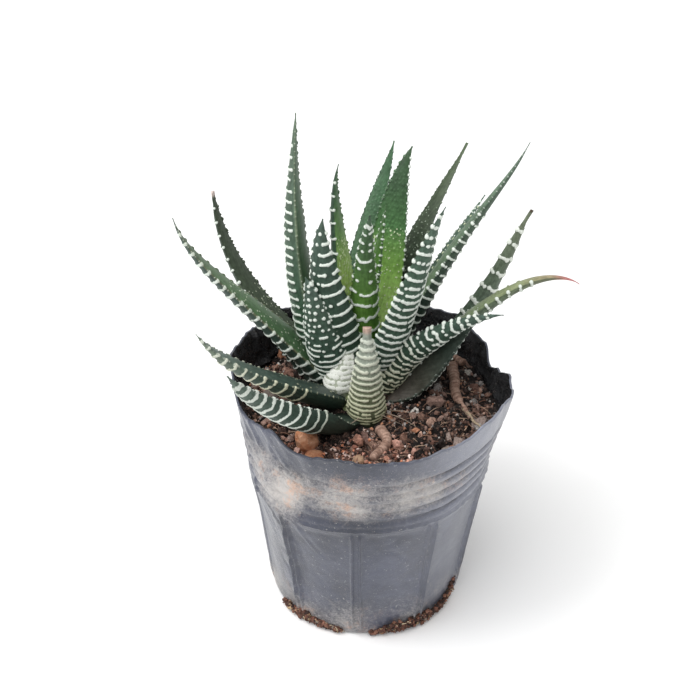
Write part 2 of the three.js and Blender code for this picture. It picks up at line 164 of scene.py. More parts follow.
def noise(points, size, seed=0, octaves=1):
    """A smooth random field over points, from about -1 to 1, with features of the given size."""
    total, weight, reach = 0.0, 1.0, 0.0
    for octave in range(octaves):
        cell = points / size * 2 ** octave + 31.7 * (seed + 1) + 7.3 * octave
        low = np.floor(cell)
        part = smooth(cell - low)
        low = low.astype(np.int64).astype(np.uint64)
        value = 0.0
        for corner in range(8):
            step = [(corner >> k) & 1 for k in range(3)]
            mix = 1.0
            code = np.uint64(seed * SEED_PRIME % WORD)
            for k, prime in enumerate(HASH_PRIMES):
                mix = mix * (part[..., k] if step[k] else 1 - part[..., k])
                code = code ^ ((low[..., k] + np.uint64(step[k])) * np.uint64(prime))
            code = code & np.uint64(WORD - 1)
            for turn, prime in HASH_STEPS:
                code = ((code ^ (code >> np.uint64(turn))) * np.uint64(prime)) & np.uint64(WORD - 1)
            value = value + mix * ((code >> np.uint64(8)).astype(float) / 2 ** 24)
        total = total + weight * (2 * value - 1)
        reach += weight
        weight *= 0.5
    return total / reach


def ridges(points, size, seed=0, octaves=2):
    """Thin raised creases: 1 on a crease, falling to 0 away from it."""
    return 1 - np.clip(np.abs(noise(points, size, seed, octaves)) * 4, 0, 1)


# ------------------------------------------------------------------ shared mesh code
def add_mesh(name, points, faces, materials, colours=None, values=None, slots=None, slot="leaf",
             replaces=()):
    """A closed piece from points in millimetres and faces, with colour and value attributes.

    Points that no face uses and corners that repeat the one before are left out, and the faces are
    turned to look outwards.
    """
    used = np.unique(faces)
    points = np.asarray(points, float).reshape(-1, 3)[used]
    faces = np.searchsorted(used, faces)
    corners = [points[faces[:, k]] for k in range(faces.shape[1])]
    volume = sum(np.sum(corners[0] * np.cross(corners[k], corners[k + 1]))
                 for k in range(1, len(corners) - 1))
    if volume < 0:
        faces = faces[:, ::-1]
    kept = faces != np.roll(faces, 1, 1)
    loops = faces[kept].astype(np.int32)
    starts = np.concatenate([[0], np.cumsum(kept.sum(1))[:-1]]).astype(np.int32)
    count = len(faces)
    mesh = bpy.data.meshes.new(name)
    mesh.vertices.add(len(points))
    mesh.vertices.foreach_set("co", (points * MM).ravel())
    mesh.loops.add(len(loops))
    mesh.loops.foreach_set("vertex_index", loops)
    mesh.polygons.add(count)
    mesh.polygons.foreach_set("loop_start", starts)
    mesh.polygons.foreach_set("use_smooth", np.ones(count, bool))
    if slots is not None:
        mesh.polygons.foreach_set("material_index", np.asarray(slots, np.int32))
    for key, value in (colours or {}).items():
        layer = mesh.attributes.new(key, "FLOAT_COLOR", "POINT")
        full = np.concatenate([value.reshape(-1, 3)[used], np.ones((len(points), 1))], 1)
        layer.data.foreach_set("color", full.ravel())
    for key, value in (values or {}).items():
        layer = mesh.attributes.new(key, "FLOAT", "POINT")
        layer.data.foreach_set("value", np.asarray(value, float).ravel()[used])
    for material in materials:
        mesh.materials.append(material)
    mesh.update(calc_edges=True)
    mesh.validate()
    piece = bpy.data.objects.new(name, mesh)
    bpy.context.collection.objects.link(piece)
    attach(piece, "root")
    if replaces:
        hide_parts(*replaces)


def grid_faces(rows, columns):
    """Quads between the rows of a grid of points, closed round each row."""
    row = np.arange(rows - 1)[:, None] * columns
    column = np.arange(columns)[None, :]
    following = (column + 1) % columns
    quads = [row + column, row + following, row + following + columns, row + column + columns]
    return np.stack(quads, -1).reshape(-1, 4)


def capped_tube(rings):
    """Points and quads of a tube whose ends close on one point each."""
    first = rings[:1].mean(1, keepdims=True) + 0 * rings[:1]
    last = rings[-1:].mean(1, keepdims=True) + 0 * rings[-1:]
    full = np.concatenate([first, rings, last])
    rows, columns = full.shape[:2]
    faces = grid_faces(rows, columns)
    end = (rows - 1) * columns
    faces[faces < columns] = 0
    faces[faces >= end] = end
    return full, faces


# ------------------------------------------------------------------ material helpers
def feed(tree, owner, inputs):
    """Link each input of a node whose value is a socket, and set the others."""
    for key, value in inputs.items():
        if isinstance(value, bpy.types.NodeSocket):
            tree.links.new(value, owner.inputs[key])
        else:
            owner.inputs[key].default_value = value


def node(tree, kind, inputs=None, **settings):
    made = tree.nodes.new("ShaderNode" + kind)
    for key, value in settings.items():
        setattr(made, key, value)
    feed(tree, made, inputs or {})
    return made


def new_material(name):
    """A material with a Principled shader, and its tree, shader and coordinates."""
    material = bpy.data.materials.new(name)
    material.use_nodes = True
    tree = material.node_tree
    shader = tree.nodes["Principled BSDF"]
    place = tree.nodes.new("ShaderNodeTexCoord").outputs["Object"]
    return material, tree, shader, place


def paint(code):
    """A colour code as a shader's colour."""
    return (*linear(code), 1)


def cloud(tree, place, scale, detail=3, roughness=0.6):
    """Noise with features of about 1 / scale metres, from 0 to 1."""
    made = node(tree, "TexNoise", {"Vector": place, "Scale": scale, "Detail": detail,
                                   "Roughness": roughness})
    return made.outputs["Fac"]


def ramp(tree, value, low, high, to_low=0, to_high=1):
    """A value that runs smoothly from to_low at low to to_high at high."""
    made = node(tree, "MapRange", {"Value": value, "From Min": low, "From Max": high,
                                   "To Min": to_low, "To Max": to_high},
                interpolation_type="SMOOTHSTEP")
    return made.outputs["Result"]


def blend(tree, share, first, second, kind="MIX"):
    made = node(tree, "MixRGB", {"Fac": share, "Color1": first, "Color2": second}, blend_type=kind)
    return made.outputs["Color"]


def tint(tree, colour, value, low, high, dark, light):
    """A colour times a factor that runs from dark to light as the value runs from low to high."""
    return blend(tree, 1, colour, ramp(tree, value, low, high, dark, light), "MULTIPLY")


def plus(tree, first, second):
    return node(tree, "Math", {0: first, 1: second}, operation="ADD").outputs[0]


def times(tree, first, second):
    return node(tree, "Math", {0: first, 1: second}, operation="MULTIPLY").outputs[0]


def attribute(tree, name, output="Fac"):
    return node(tree, "Attribute", attribute_name=name).outputs[output]


def bump(tree, shader, height, strength, depth):
    made = node(tree, "Bump", {"Height": height, "Strength": strength, "Distance": depth})
    tree.links.new(made.outputs["Normal"], shader.inputs["Normal"])


# ------------------------------------------------------------------ materials
def leaf_material():
    """Waxy skin, mottled and faintly streaked along the leaf, with chalky white tubercles."""
    material, tree, shader, place = new_material("leaf_skin")
    skin = attribute(tree, "skin", "Color")
    pearl = attribute(tree, "pearl", "Color")
    tubercle = attribute(tree, "tubercle")
    flow = node(tree, "CombineXYZ", {"X": attribute(tree, "across"), "Y": attribute(tree, "along")})
    streak = cloud(tree, flow.outputs[0], 1.6, 4)
    mottle = cloud(tree, place, 700, 4)
    skin = tint(tree, skin, mottle, 0.3, 0.7, 0.8, 1.16)
    skin = tint(tree, skin, streak, 0.3, 0.7, 0.82, 1.14)
    grain = cloud(tree, place, 2600, 2)
    rough_edge = plus(tree, tubercle, ramp(tree, grain, 0.3, 0.7, -0.1, 0.1))
    chalk = ramp(tree, rough_edge, 0.0, 0.28)
    pearl = tint(tree, pearl, grain, 0.25, 0.75, 0.88, 1.06)
    feed(tree, shader, {"Base Color": blend(tree, chalk, skin, pearl),
                        "Roughness": ramp(tree, plus(tree, chalk, mottle), 0.3, 1.5, 0.44, 0.66),
                        "Specular IOR Level": 0.2})
    bump(tree, shader, plus(tree, grain, streak), 0.25, 0.0002)
    return material


def film_material():
    """The pot's outside: slate plastic film, scuffed, with tan dust where it gathers, a painted sheen that
    makes its right side paler and painted shade in its grooves.
    """
    material, tree, shader, place = new_material("pot_film_outside")
    broad = cloud(tree, place, 45, 5, 0.65)
    fine = cloud(tree, place, 520, 8, 0.78)
    speck = cloud(tree, place, 2300, 2)
    dust = attribute(tree, "dust")
    flakes = cloud(tree, place, 950, 3)
    slate = blend(tree, ramp(tree, broad, 0.3, 0.72), paint("#2a2e3b"), paint("#464b5d"))
    # Painted sheen: the pale value makes the right side paler, as reflected light would.
    slate = blend(tree, times(tree, attribute(tree, "pale"), 0.8), slate, paint("#9a9dab"))
    slate = tint(tree, slate, fine, 0.3, 0.7, 0.86, 1.1)
    slate = blend(tree, ramp(tree, speck, 0.66, 0.74, 0, 0.45), slate, paint("#b9b6b2"))
    # Painted shade: a dark line in each groove.
    slate = blend(tree, attribute(tree, "groove_shade"), slate, paint("#23252e"))
    slate = blend(tree, ramp(tree, flakes, 0.64, 0.72, 0, 0.5), slate, paint("#c2bfba"))
    grit = blend(tree, 0.45, fine, cloud(tree, place, 1500, 4, 0.75))
    cover = ramp(tree, plus(tree, times(tree, dust, 0.5), grit), 0.56, 1, 0, 0.95)
    tan = ramp(tree, cloud(tree, place, 110, 7, 0.78), 0.5, 0.62)
    powder = blend(tree, tan, paint("#bcb7b3"), paint("#ccae9b"))
    worn = plus(tree, cover, times(tree, fine, 0.5))
    feed(tree, shader, {"Base Color": blend(tree, cover, slate, powder),
                        "Roughness": ramp(tree, worn, 0, 1.3, 0.3, 0.85),
                        "Coat Weight": 0.25, "Coat Roughness": 0.3,
                        "Sheen Weight": 0.18, "Sheen Roughness": 0.45})
    bump(tree, shader, plus(tree, fine, times(tree, speck, 0.4)), 0.4, 0.0005)
    return material


def lining_material():
    """The pot's inside: black glossy film, crinkled, with brown dust and pale upright scuffs."""
    material, tree, shader, place = new_material("pot_film_inside")
    crinkle = cloud(tree, place, 190, 9, 0.72)
    dust = ramp(tree, cloud(tree, place, 800, 4), 0.6, 0.8)
    base = blend(tree, times(tree, dust, 0.7), paint("#1d1e21"), paint("#7a6a5e"))
    tall = node(tree, "Mapping", {"Vector": place, "Scale": (1, 1, 0.12)}).outputs[0]
    scuffs = ramp(tree, cloud(tree, tall, 500, 4), 0.6, 0.76, 0, 0.4)
    feed(tree, shader, {"Base Color": blend(tree, scuffs, base, paint("#77736f")),
                        "Roughness": ramp(tree, plus(tree, dust, crinkle), 0.3, 1.4, 0.16, 0.6)})
    bump(tree, shader, crinkle, 0.9, 0.0024)
    return material


def earth_material(name, codes, strength):
    """Crumbly matter in three colours."""
    material, tree, shader, place = new_material(name)
    patch = cloud(tree, place, 260, 4, 0.7)
    grain = cloud(tree, place, 1900, 4, 0.7)
    colour = blend(tree, ramp(tree, patch, 0.35, 0.62), paint(codes[0]), paint(codes[1]))
    colour = blend(tree, ramp(tree, grain, 0.6, 0.72), colour, paint(codes[2]))
    feed(tree, shader, {"Base Color": colour, "Roughness": 0.85})
    bump(tree, shader, plus(tree, patch, grain), strength, 0.0008)
    return material


def soil_material():
    """Peat and coir: red-brown and tan on the clods, with painted shade that turns the hollows black."""
    material, tree, shader, place = new_material("soil_bed")
    height = attribute(tree, "height")
    patch = cloud(tree, place, 230, 5, 0.75)
    grain = cloud(tree, place, 1700, 5, 0.75)
    top = blend(tree, ramp(tree, patch, 0.38, 0.58), paint("#66473a"), paint("#b18c7b"))
    top = blend(tree, ramp(tree, grain, 0.54, 0.66), top, paint("#d8c0b0"))
    low = plus(tree, height, ramp(tree, grain, 0.3, 0.7, -0.25, 0.25))
    # Painted shade: where the height value is low, in the hollows, the colour goes to near black.
    feed(tree, shader, {"Base Color": blend(tree, ramp(tree, low, 0.12, 0.75), paint("#1d1410"), top),
                        "Roughness": ramp(tree, grain, 0.3, 0.7, 0.95, 0.6)})
    bump(tree, shader, plus(tree, patch, grain), 1, 0.0012)
    return material


def crumb_material():
    """Loose crumbs and grains, each with its own tone."""
    material, tree, shader, place = new_material("crumbs")
    grain = cloud(tree, place, 1500, 5, 0.7)
    tone = attribute(tree, "tone", "Color")
    feed(tree, shader, {"Base Color": tint(tree, tone, grain, 0.28, 0.72, 0.5, 1.35),
                        "Roughness": ramp(tree, grain, 0.3, 0.7, 0.95, 0.65)})
    bump(tree, shader, grain, 0.7, 0.0006)
    return material


def root_material():
    """Tan cork skin with darker rings and scuffs."""
    material, tree, shader, place = new_material("root_cork")
    flow = node(tree, "CombineXYZ", {"X": attribute(tree, "along"), "Y": attribute(tree, "across")})
    rings = node(tree, "TexNoise", {"Vector": flow.outputs[0], "Scale": 1.1, "Detail": 5}).outputs["Fac"]
    grain = cloud(tree, place, 1400, 4)
    colour = blend(tree, ramp(tree, rings, 0.36, 0.62), paint("#7d5f50"), paint("#ac8d7d"))
    feed(tree, shader, {"Base Color": tint(tree, colour, grain, 0.3, 0.7, 0.75, 1.2), "Roughness": 0.7})
    bump(tree, shader, plus(tree, rings, grain), 0.5, 0.0006)
    return material


def floor_material():
    material, tree, shader, place = new_material("pale_floor")
    tone = ramp(tree, cloud(tree, place, 6, 2), 0.3, 0.7)
    pale = blend(tree, tone, (0.965, 0.965, 0.96, 1), (0.98, 0.98, 0.98, 1))
    feed(tree, shader, {"Base Color": pale, "Roughness": 0.9})
    return material


# ------------------------------------------------------------------ leaves
CROWN = (-2, 10)        # where the rosette's axis meets the plan
LEAF_ROOT = 3           # length inside the crown
ROW_PITCH = 0.3         # along a leaf
OUTER_POINTS = 45       # across the outer face
INNER_POINTS = 19       # across a plain inner face
SPECKLED_POINTS = 61    # across an inner face with specks or rows of bumps
NODE_PITCH = 1.35       # between the tubercles of a band
TUBERCLE_HEIGHT = 0.46
TOOTH_HEIGHT = 0.65     # of a tubercle on the margin
BEAD_PITCH = 1.9        # between the small beads on the margins
ROW_GAP = 1.7           # between the rows of green bumps on an inner face
TIP_WIDTH = 0.55
POINT_FROM = 0.97       # share of the length where a leaf's dry point starts
LEAF_THICKNESS = 0.4    # of its width
BASE_FULLNESS = 0.8     # of its width, at its base
FULL_FROM = 0.12        # share of its length where it has its full width
SHOULDER = 0.9          # how its sides run into the point
DOME_POWER = 0.6        # of the outer face's section
INNER_RISE = 0.16       # of half its width, at the middle of the inner face
SWAY = 0.25             # how far the whole leaf strays from its plain form
SWAY_SIZE = 9
FAR = 9.0               # in radii of a tubercle: beyond all of its band
NEAR_BAND = 2.4         # how far past its bow a band is worked out
NEAR_SPECK = 1          # how far round a speck or a bead it is worked out
ON_MARGIN = 0.95        # place across from which a tubercle is a tooth
TOOTH_SWELL = 1.1       # of a tooth over the other tubercles of its band
BRIDGE = 0.82           # width of the bridge between joined tubercles, of the smaller one's
COLUMN_JOIN = 0.12      # share of tubercles that run together where they stand in columns
BEAD_RADII = (0.16, 0.28)
BEAD_RISE = 0.4         # how much of a tooth a bead is
BEAD_WHITE = 0.35       # how far a bead's colour is from the skin's to a tooth's
SPECK_RADII = (0.18, 0.36)
SPECK_HEIGHT = 0.2
BUMP_RADIUS = 0.42
BUMP_HEIGHT = 0.22
BUMP_HIGHLIGHT = 0.35       # how much lighter a bump is painted, as a highlight
STREAK_STRETCH = 0.12   # of the skin's streaks: less is longer
BUMP_GAP = 1.2          # between the bumps of a row, and how stretched each is

# Colours that many leaves share.
DARK = "#3c5142"
WHITE = "#dae1d8"
CREAM = "#d6d6b6"

# Looks that several leaves share.
MID_FACE = ("#4f6a44", "#486044")
HIDDEN_LOOK = dict(gaps=(2.4, 2.8, 2.4), half=(0.4, 0.36), join=(1, 0.6), skin=(DARK, "#40574a"),
                   face=("#3f5042", "#475a4c"))

# The CAD model's leaves, with their looks. Places across a leaf run from -1 to 1, and places along it are
# shares of its length.
#   az, r, z       where the base stands about the crown, or about origin
#   rise, tip      degrees that the leaf climbs at its base and at its tip
#   bend, flick    how late the climb changes, and more degrees of it at the tip
#   swing, roll    degrees that it turns about the crown and about its own length
#   taper          how late it narrows
# The bands of tubercles:
#   gaps           millimetres between bands at the base, middle and tip
#   half           half-width of a band at the base and tip
#   join           share of the tubercles that run together at the base and at join_to
#   pitch          millimetres between tubercles
#   wave, bow      how unevenly they stand, and how far a band's ends lie ahead of its middle
#   relief         factor on their height
#   bare, until    where the bands start and end
#   reach          the places across that have them
#   keel           where they break, with single tubercles to the left of it for dots_left
#   columns        places across of the only tubercles from columns_from on
# The margins, at -1 and then at 1:
#   tooth, teeth   height and colours of the bands' end tubercles
#   plain          the margin without them
#   beads          whether small beads stand between them
#   edge           colour of the margin
# The inner face:
#   specks         how many pale specks, and how far along they reach
#   rows           where rows of green bumps start and end
# Colours, from base to tip:
#   skin, face     of the outer and the inner face
#   pearl          of the tubercles
#   point          of the dry tip, from point_from on
LEAVES = [
    dict(name="offset_leaf_front", az=270, r=4, z=72, rise=86, tip=92, length=35, width=12, taper=1.6,
         tip_width=2.6, origin=(0, -3.5), slot="pale_leaf", gaps=(1.3, 2.1, 2.9), half=(0.5, 0.9),
         join=(0.85, 0.9), bow=0.3, skin=("#4b523c", "#6d745a", "#8f978a", "#969d92"),
         face=("#8d9478", "#96998a"), pearl=("#b4b48f", "#cdd0bc", "#c4cabf"), point="#b49a8c",
         beads=(0, 0), point_from=0.92, relief=0.8),
    dict(name="offset_leaf_bulb", az=222, r=4, z=79, rise=86, tip=118, length=19, width=13, thickness=0.55,
         taper=1.3, tip_width=1.2, origin=(-4.5, 3.5), slot="pale_leaf", gaps=(1.5, 1.5, 1.6),
         half=(0.74, 0.74), join=(1, 1), bow=0.8, skin=("#a9b09d", "#b4bba9", "#c0c6b6"),
         face=("#b4b8a8", "#b4b9ac"), pearl=("#f0f2ea", "#f0f2ea"), point="#c4a596", keel=0.35,
         beads=(0, 0), point_from=0.9, relief=0.35, pitch=1.4),
    dict(name="offset_leaf_small", az=80, r=2, z=74, rise=84, tip=88, length=13, width=7,
         origin=(-3.5, -1.5), gaps=(1.8, 2, 2), half=(0.35, 0.35), join=(1, 0.8), skin=(DARK, DARK),
         face=("#46584a", "#46584a")),
    dict(name="leaf_01", az=30, r=2, z=92, rise=83, tip=79, length=45, width=7, slot="young_leaf",
         gaps=(3, 3, 2.4), half=(0.42, 0.34), join=(0.2, 0), skin=("#5b8236", "#4a7036", "#41603c"),
         face=("#6c9440", "#547a38", "#41603c")),
    dict(name="leaf_02", az=268, r=2, z=91, rise=84, tip=58, swing=10, length=59, width=10,
         slot="young_leaf", origin=(-0.8, 10), gaps=(5.4, 4.8, 3.2), half=(0.84, 0.62), join=(1, 0.6),
         join_to=0.5, wave=1.2, skin=("#64903c", "#587f38", "#486440", "#445a48"),
         face=("#6a8c3c", "#587048"), columns=(-0.5, 0.42), columns_from=0.4, beads=(1, 1)),
    # Its inner face is pale yellow-green at the base: partly the young leaf's own colour and partly
    # painted light, standing in for light through the leaf.
    dict(name="leaf_03", az=140, r=4, z=89, rise=96, tip=77, bend=0.3, flick=30, roll=18, length=61,
         width=14, slot="young_leaf", gaps=(5, 5, 4), half=(0.5, 0.42), join=(1, 1),
         skin=("#3f5a42", DARK),
         face=("#e2f0a4", "#d6e894", "#bcd880", "#74995c", "#4a6a49", "#4a6849"), specks=(300, 0.6),
         teeth=("#5f7a5a", WHITE), speck_colour="#e0ebc0", tooth=0.5, beads=(1, 0)),
    # Its inner face is pale yellow-green at the base: partly the young leaf's own colour and partly
    # painted light, standing in for light through the leaf.
    dict(name="leaf_04", az=54, r=4, z=87, rise=57, tip=80, bend=0.3, flick=-42, roll=25, length=66,
         width=14.5, taper=2.2, slot="young_leaf", gaps=(3.2, 3.1, 2.6), half=(0.5, 0.42),
         join=(1, 0.6), skin=("#3f5a42", DARK),
         face=("#d4ec98", "#bce082", "#86b058", "#4c7246", "#3a5239", "#3c543b"), specks=(170, 0.6),
         teeth=(WHITE, "#5a7658"), speck_colour="#dbe6c0", rows=(0.5, 0.88), tooth=0.5),
    dict(name="leaf_05", az=219, r=5, z=85, rise=75, tip=102, bend=4, flick=-1, swing=-4, roll=30,
         length=55, width=15, taper=2.2, gaps=(3.5, 3.8, 2.7), half=(0.75, 0.62), join=(1, 0.75),
         keel=-0.06, dots_left=True, bow=1.3, skin=("#3a5040", "#324639", "#384c40", "#48584e"),
         face=MID_FACE, beads=(0, 0), pitch=2),
    dict(name="leaf_06", az=95, r=7, z=82, rise=53, tip=51, flick=22, swing=-48, roll=20, length=71,
         width=11, taper=1.8, gaps=(3, 3, 2.5), half=(0.35, 0.3), join=(1, 0.5), skin=(DARK, DARK),
         face=("#476448", "#456346", "#48684c"), tooth=0.25, teeth=("#3f5646", "#3f5646"), bend=0.8,
         rows=(0.3, 0.8)),
    dict(name="leaf_07", az=321, r=5, z=83, rise=64, tip=73, bend=0.5, flick=-11, length=70, width=17,
         gaps=(2.3, 2.8, 3.6), half=(0.72, 0.74), join=(0.95, 0.45), keel=-0.1, bow=1.4,
         skin=("#41554a", "#3a5042", "#435a4a", "#526458"), face=("#4c6448", "#4a6250"), wave=0.5,
         beads=(0, 0)),
    dict(name="leaf_08", az=46, r=8, z=80, rise=85, tip=36, bend=0.6, flick=14, length=77, width=12.5,
         gaps=(3.6, 3.8, 3.4), half=(0.35, 0.3), join=(1, 0.4), skin=(DARK, DARK),
         face=("#3f4a3c", "#3e4a3c", "#44503e", "#4c5a42"), specks=(110, 0.7), speck_colour="#9aa894",
         tip_width=1.1, teeth=("#74806a", "#4a5644"), taper=1.2, rows=(0.15, 0.6), tooth=0.3,
         beads=(0, 1)),
    dict(name="leaf_09", az=173, r=7, z=79, rise=47, tip=93, bend=0.3, flick=-1, roll=-5, length=90,
         width=16.5, thickness=0.5, gaps=(2.5, 2.9, 3.9), half=(0.68, 0.55), join=(1, 0.8),
         skin=("#3e5845", "#405a47", "#4e6051", "#5e6e5e"),
         face=("#446640", "#43633f", "#4b654b", "#5a6e5b"), edge="#86957a",
         teeth=("#4a5f4c", "#b4bda2"), reach=(-1, 0.8), tooth=0.4, beads=(1, 1)),
    dict(name="leaf_10", az=1, r=6, z=81, rise=64, tip=29, bend=3, flick=38, swing=2, roll=-8, length=89,
         width=12, gaps=(2.7, 3.3, 3.6), half=(0.6, 0.5), join=(1, 0.5), bow=1.5,
         skin=("#26362d", "#28382f", "#465848", "#5c6e60"),
         face=("#54684c", "#62745a", "#5a6f5a", "#566a58"), teeth=(WHITE, "#b9c0a0"), until=0.72,
         beads=(1, 0)),
    dict(name="leaf_11", az=31, r=9, z=80, rise=57, tip=49, length=63, width=9, gaps=(2.8, 2.6, 2),
         half=(0.4, 0.34), join=(0.5, 0.2), skin=("#43584a", "#526054"), face=("#4c6450", "#526658"),
         specks=(40, 1)),
    dict(name="leaf_12", az=216, r=7, z=79, rise=46, tip=85, bend=0.35, flick=-22, swing=4, roll=32,
         length=44.5, width=14.5, taper=1.8, gaps=(1.7, 2.3, 2.4), half=(0.5, 0.72), join=(1.6, 0),
         bow=1, skin=("#43584a", "#3a5044", "#425648", "#52645a"), face=MID_FACE,
         wave=0.5, join_to=0.55, pitch=2.1, beads=(0, 0)),
    dict(name="leaf_13", az=152, r=8, z=75, rise=25, tip=88, bend=1.4, length=76, width=9.5,
         gaps=(3.4, 3.9, 4.6), half=(0.5, 0.45), join=(1, 0.6), skin=("#3a4a3c", "#404e40"),
         face=("#414c3c", "#434e3e", "#4a5446"), point="#dccbc4", tip_width=1.6, specks=(110, 0.55),
         speck_colour="#a8b09a", teeth=("#4c5444", WHITE), taper=2.6, flick=-2, tooth=0.6,
         beads=(1, 0), pitch=2.2),
    dict(name="leaf_14", az=353, r=8, z=75, rise=46, tip=-41, bend=4.7, swing=12, roll=-14, length=76.5,
         width=11, gaps=(3, 3.8, 4), half=(0.65, 0.5), join=(0.9, 0.75), bow=1,
         skin=("#3a4c40", "#43534a", "#5c6a52", "#7a7a60"),
         face=("#44583f", "#4c6048", "#6a7c58", "#8c9470", "#a88470"), specks=(70, 0.55),
         point="#c07a78", teeth=(WHITE, "#a8ad84"), taper=1.9, beads=(0, 0), plain=1, until=0.8,
         point_from=0.86),
    dict(name="leaf_15", az=12, r=9, z=76, rise=8, tip=79, bend=0.6, flick=-22, swing=6, roll=-65,
         length=74, width=10.5, taper=2.6, gaps=(5.2, 5.6, 5), half=(0.85, 0.75), join=(0.7, 0.6),
         bow=0.8, skin=("#43544a", "#4c5e50", "#5c6a58", "#6c7460"), face=("#4c5c4c", "#5c6856"),
         point="#4f4438", tip_width=1.8, beads=(0, 0), pearl=("#e6ebe2", "#e6ebe2"), wave=0.8,
         point_from=0.985),
    dict(name="leaf_16", az=190, r=7, z=75, rise=55, tip=46, bend=0.45, flick=32, swing=8, roll=-9,
         length=83, width=14.5, gaps=(3.8, 3.8, 3.6), half=(0.75, 0.6), join=(0.9, 0.9), bow=1.2,
         skin=("#2d3e34", "#314339", "#3c4e44", "#4e5e54"),
         face=("#3a573a", "#466243", "#52704d", "#607659", "#627060"), edge="#6c6c54",
         specks=(90, 0.65), teeth=("#5c644e", "#ccd4c6"), tooth=0.4, beads=(0, 1),
         speck_colour="#c3cbb6"),
    dict(name="leaf_17", az=334, r=9, z=75, rise=82, tip=29, bend=0.5, flick=-15, roll=-50, length=56,
         width=12, gaps=(2, 2.9, 3), half=(0.62, 0.66), join=(0.7, 0.55), bow=1.3,
         skin=("#4a5442", "#35493c", "#3c5044", "#52645a"), face=("#3c4c40", "#4c5c50"),
         pearl=(CREAM, WHITE, WHITE), wave=1, taper=1.9),
    dict(name="leaf_18", az=339, r=9, z=72, rise=26, tip=61, bend=0.4, flick=-15, roll=50, length=44,
         width=14, gaps=(2.6, 2.6, 2.4), half=(0.4, 0.36), join=(0.9, 0.5),
         skin=("#38453b", "#3e4c43"), face=("#625a54", "#4a4a42", "#37423a", "#3d4841"),
         teeth=("#3f4a42", "#aab2a6"), tooth=0.35),
    dict(name="leaf_19", az=230, r=8, z=73, rise=35, tip=36, bend=1, flick=25, swing=-34, roll=5,
         length=67, width=14, taper=2.2, gaps=(3.8, 3.7, 3), half=(0.6, 0.62), join=(1, 0.9), bow=1,
         skin=("#2c3830", "#35453b", "#425248", "#74806f"),
         face=("#2a352f", "#313f38", "#3a4a42", "#526258", "#7c8880"),
         pearl=("#c9c9a8", "#cfcfb4", "#c9cfc4"), bare=0.38, beads=(1, 1), tooth=0.45,
         specks=(30, 0.5), wave=0.6),
    dict(name="leaf_20", az=238, r=7, z=74, rise=20, tip=46, bend=0.35, flick=14, swing=-12, roll=45,
         length=69, width=11, taper=2.2, origin=(-3, -5), gaps=(4.6, 4.7, 3.3), half=(0.5, 1),
         join=(1, 1), bow=1.1, skin=("#323f37", "#34453c", "#37493f", "#5c6a60"),
         face=("#323f37", "#425047"), pearl=("#b4ba9e", WHITE, "#c0c6bd"), bare=0.3, wave=0.9),
    dict(name="leaf_21", az=183, r=8, z=72, rise=34, tip=50, bend=0.4, flick=-6, length=30, width=11,
         gaps=(3, 3, 2.6), half=(0.36, 0.36), join=(1, 0.7), skin=("#2a3832", "#2e3e35"),
         face=("#2e3c34", "#36443c")),
    dict(name="leaf_22", az=104, r=9, z=73, rise=25, tip=45, length=28, width=12, **HIDDEN_LOOK),
    dict(name="leaf_23", az=70, r=9, z=74, rise=28, tip=45, length=30, width=12, **HIDDEN_LOOK),
    dict(name="leaf_24", az=36, r=9, z=72, rise=15, tip=25, length=28, width=11, **HIDDEN_LOOK),
]


def leaf_directions(leaf, share):
    """Directions along the leaf, out of its inner face and across it, at shares of its length."""
    azimuth = np.radians(leaf["az"] + leaf.get("swing", 0) * share)
    late = share ** leaf.get("bend", 1)
    climb = np.radians(lerp(leaf["rise"], leaf["tip"], late) + leaf.get("flick", 0) * share ** 6)
    flat, up = np.cos(climb), np.sin(climb)
    along = np.stack([flat * np.cos(azimuth), flat * np.sin(azimuth), up], -1)
    inner = np.stack([-up * np.cos(azimuth), -up * np.sin(azimuth), flat], -1)
    roll = np.radians(leaf.get("roll", 0)) * smooth(3 * share)
    inner = inner * np.cos(roll)[:, None] + np.cross(along, inner) * np.sin(roll)[:, None]
    return along, inner, np.cross(inner, along)


def leaf_spine(leaf, rows):
    """Middle line, directions out of the inner face and across, and share of the length, row by row.

    The first row is inside the crown.
    """
    share = np.linspace(0, 1, rows + 1)
    along, inner, side = leaf_directions(leaf, share)
    middle, _, _ = leaf_directions(leaf, (share[1:] + share[:-1]) / 2)
    heading = math.radians(leaf["az"])
    x, y = leaf.get("origin", CROWN)
    start = np.array([x + leaf["r"] * math.cos(heading), y + leaf["r"] * math.sin(heading), leaf["z"]])
    spine = start + np.concatenate([np.zeros((1, 3)), np.cumsum(middle, 0)]) * leaf["length"] / rows
    spine = np.concatenate([[start - LEAF_ROOT * along[0]], spine])
    repeat = lambda value: np.concatenate([value[:1], value])
    return spine, repeat(inner), repeat(side), repeat(share)


def leaf_width(leaf, share):
    """The leaf's width at shares of its length."""
    fullness = lerp(BASE_FULLNESS, 1, np.minimum(1, share / FULL_FROM))
    width = leaf["width"] * fullness * (1 - share ** leaf.get("taper", 1.4)) ** SHOULDER
    return np.maximum(width, leaf.get("tip_width", TIP_WIDTH))


def half_width(leaf, place):
    """Half of the leaf's width at a distance from its base."""
    return leaf_width(leaf, np.array([place / leaf["length"]]))[0] / 2


def segment_distance(x, y, first, second):
    """Distance from points to a segment, all in millimetres. An end's first number may vary by row."""
    dx, dy = second[0] - first[0], second[1] - first[1]
    span = np.maximum(dx * dx + dy * dy, 1e-9)
    share = np.clip(((x - first[0]) * dx + (y - first[1]) * dy) / span, 0, 1)
    return np.hypot(x - first[0] - share * dx, y - first[1] - share * dy)


def band_places(leaf, rng):
    """Distances of a leaf's bands from its base."""
    length = leaf["length"]
    place = max(1.2, leaf.get("bare", 0) * length)
    while place < min(length - 3, length * leaf.get("until", 1)):
        yield place
        gap = np.interp(place / length, (0.05, 0.5, 0.95), leaf["gaps"])
        place += gap * rng.uniform(0.9, 1.1)


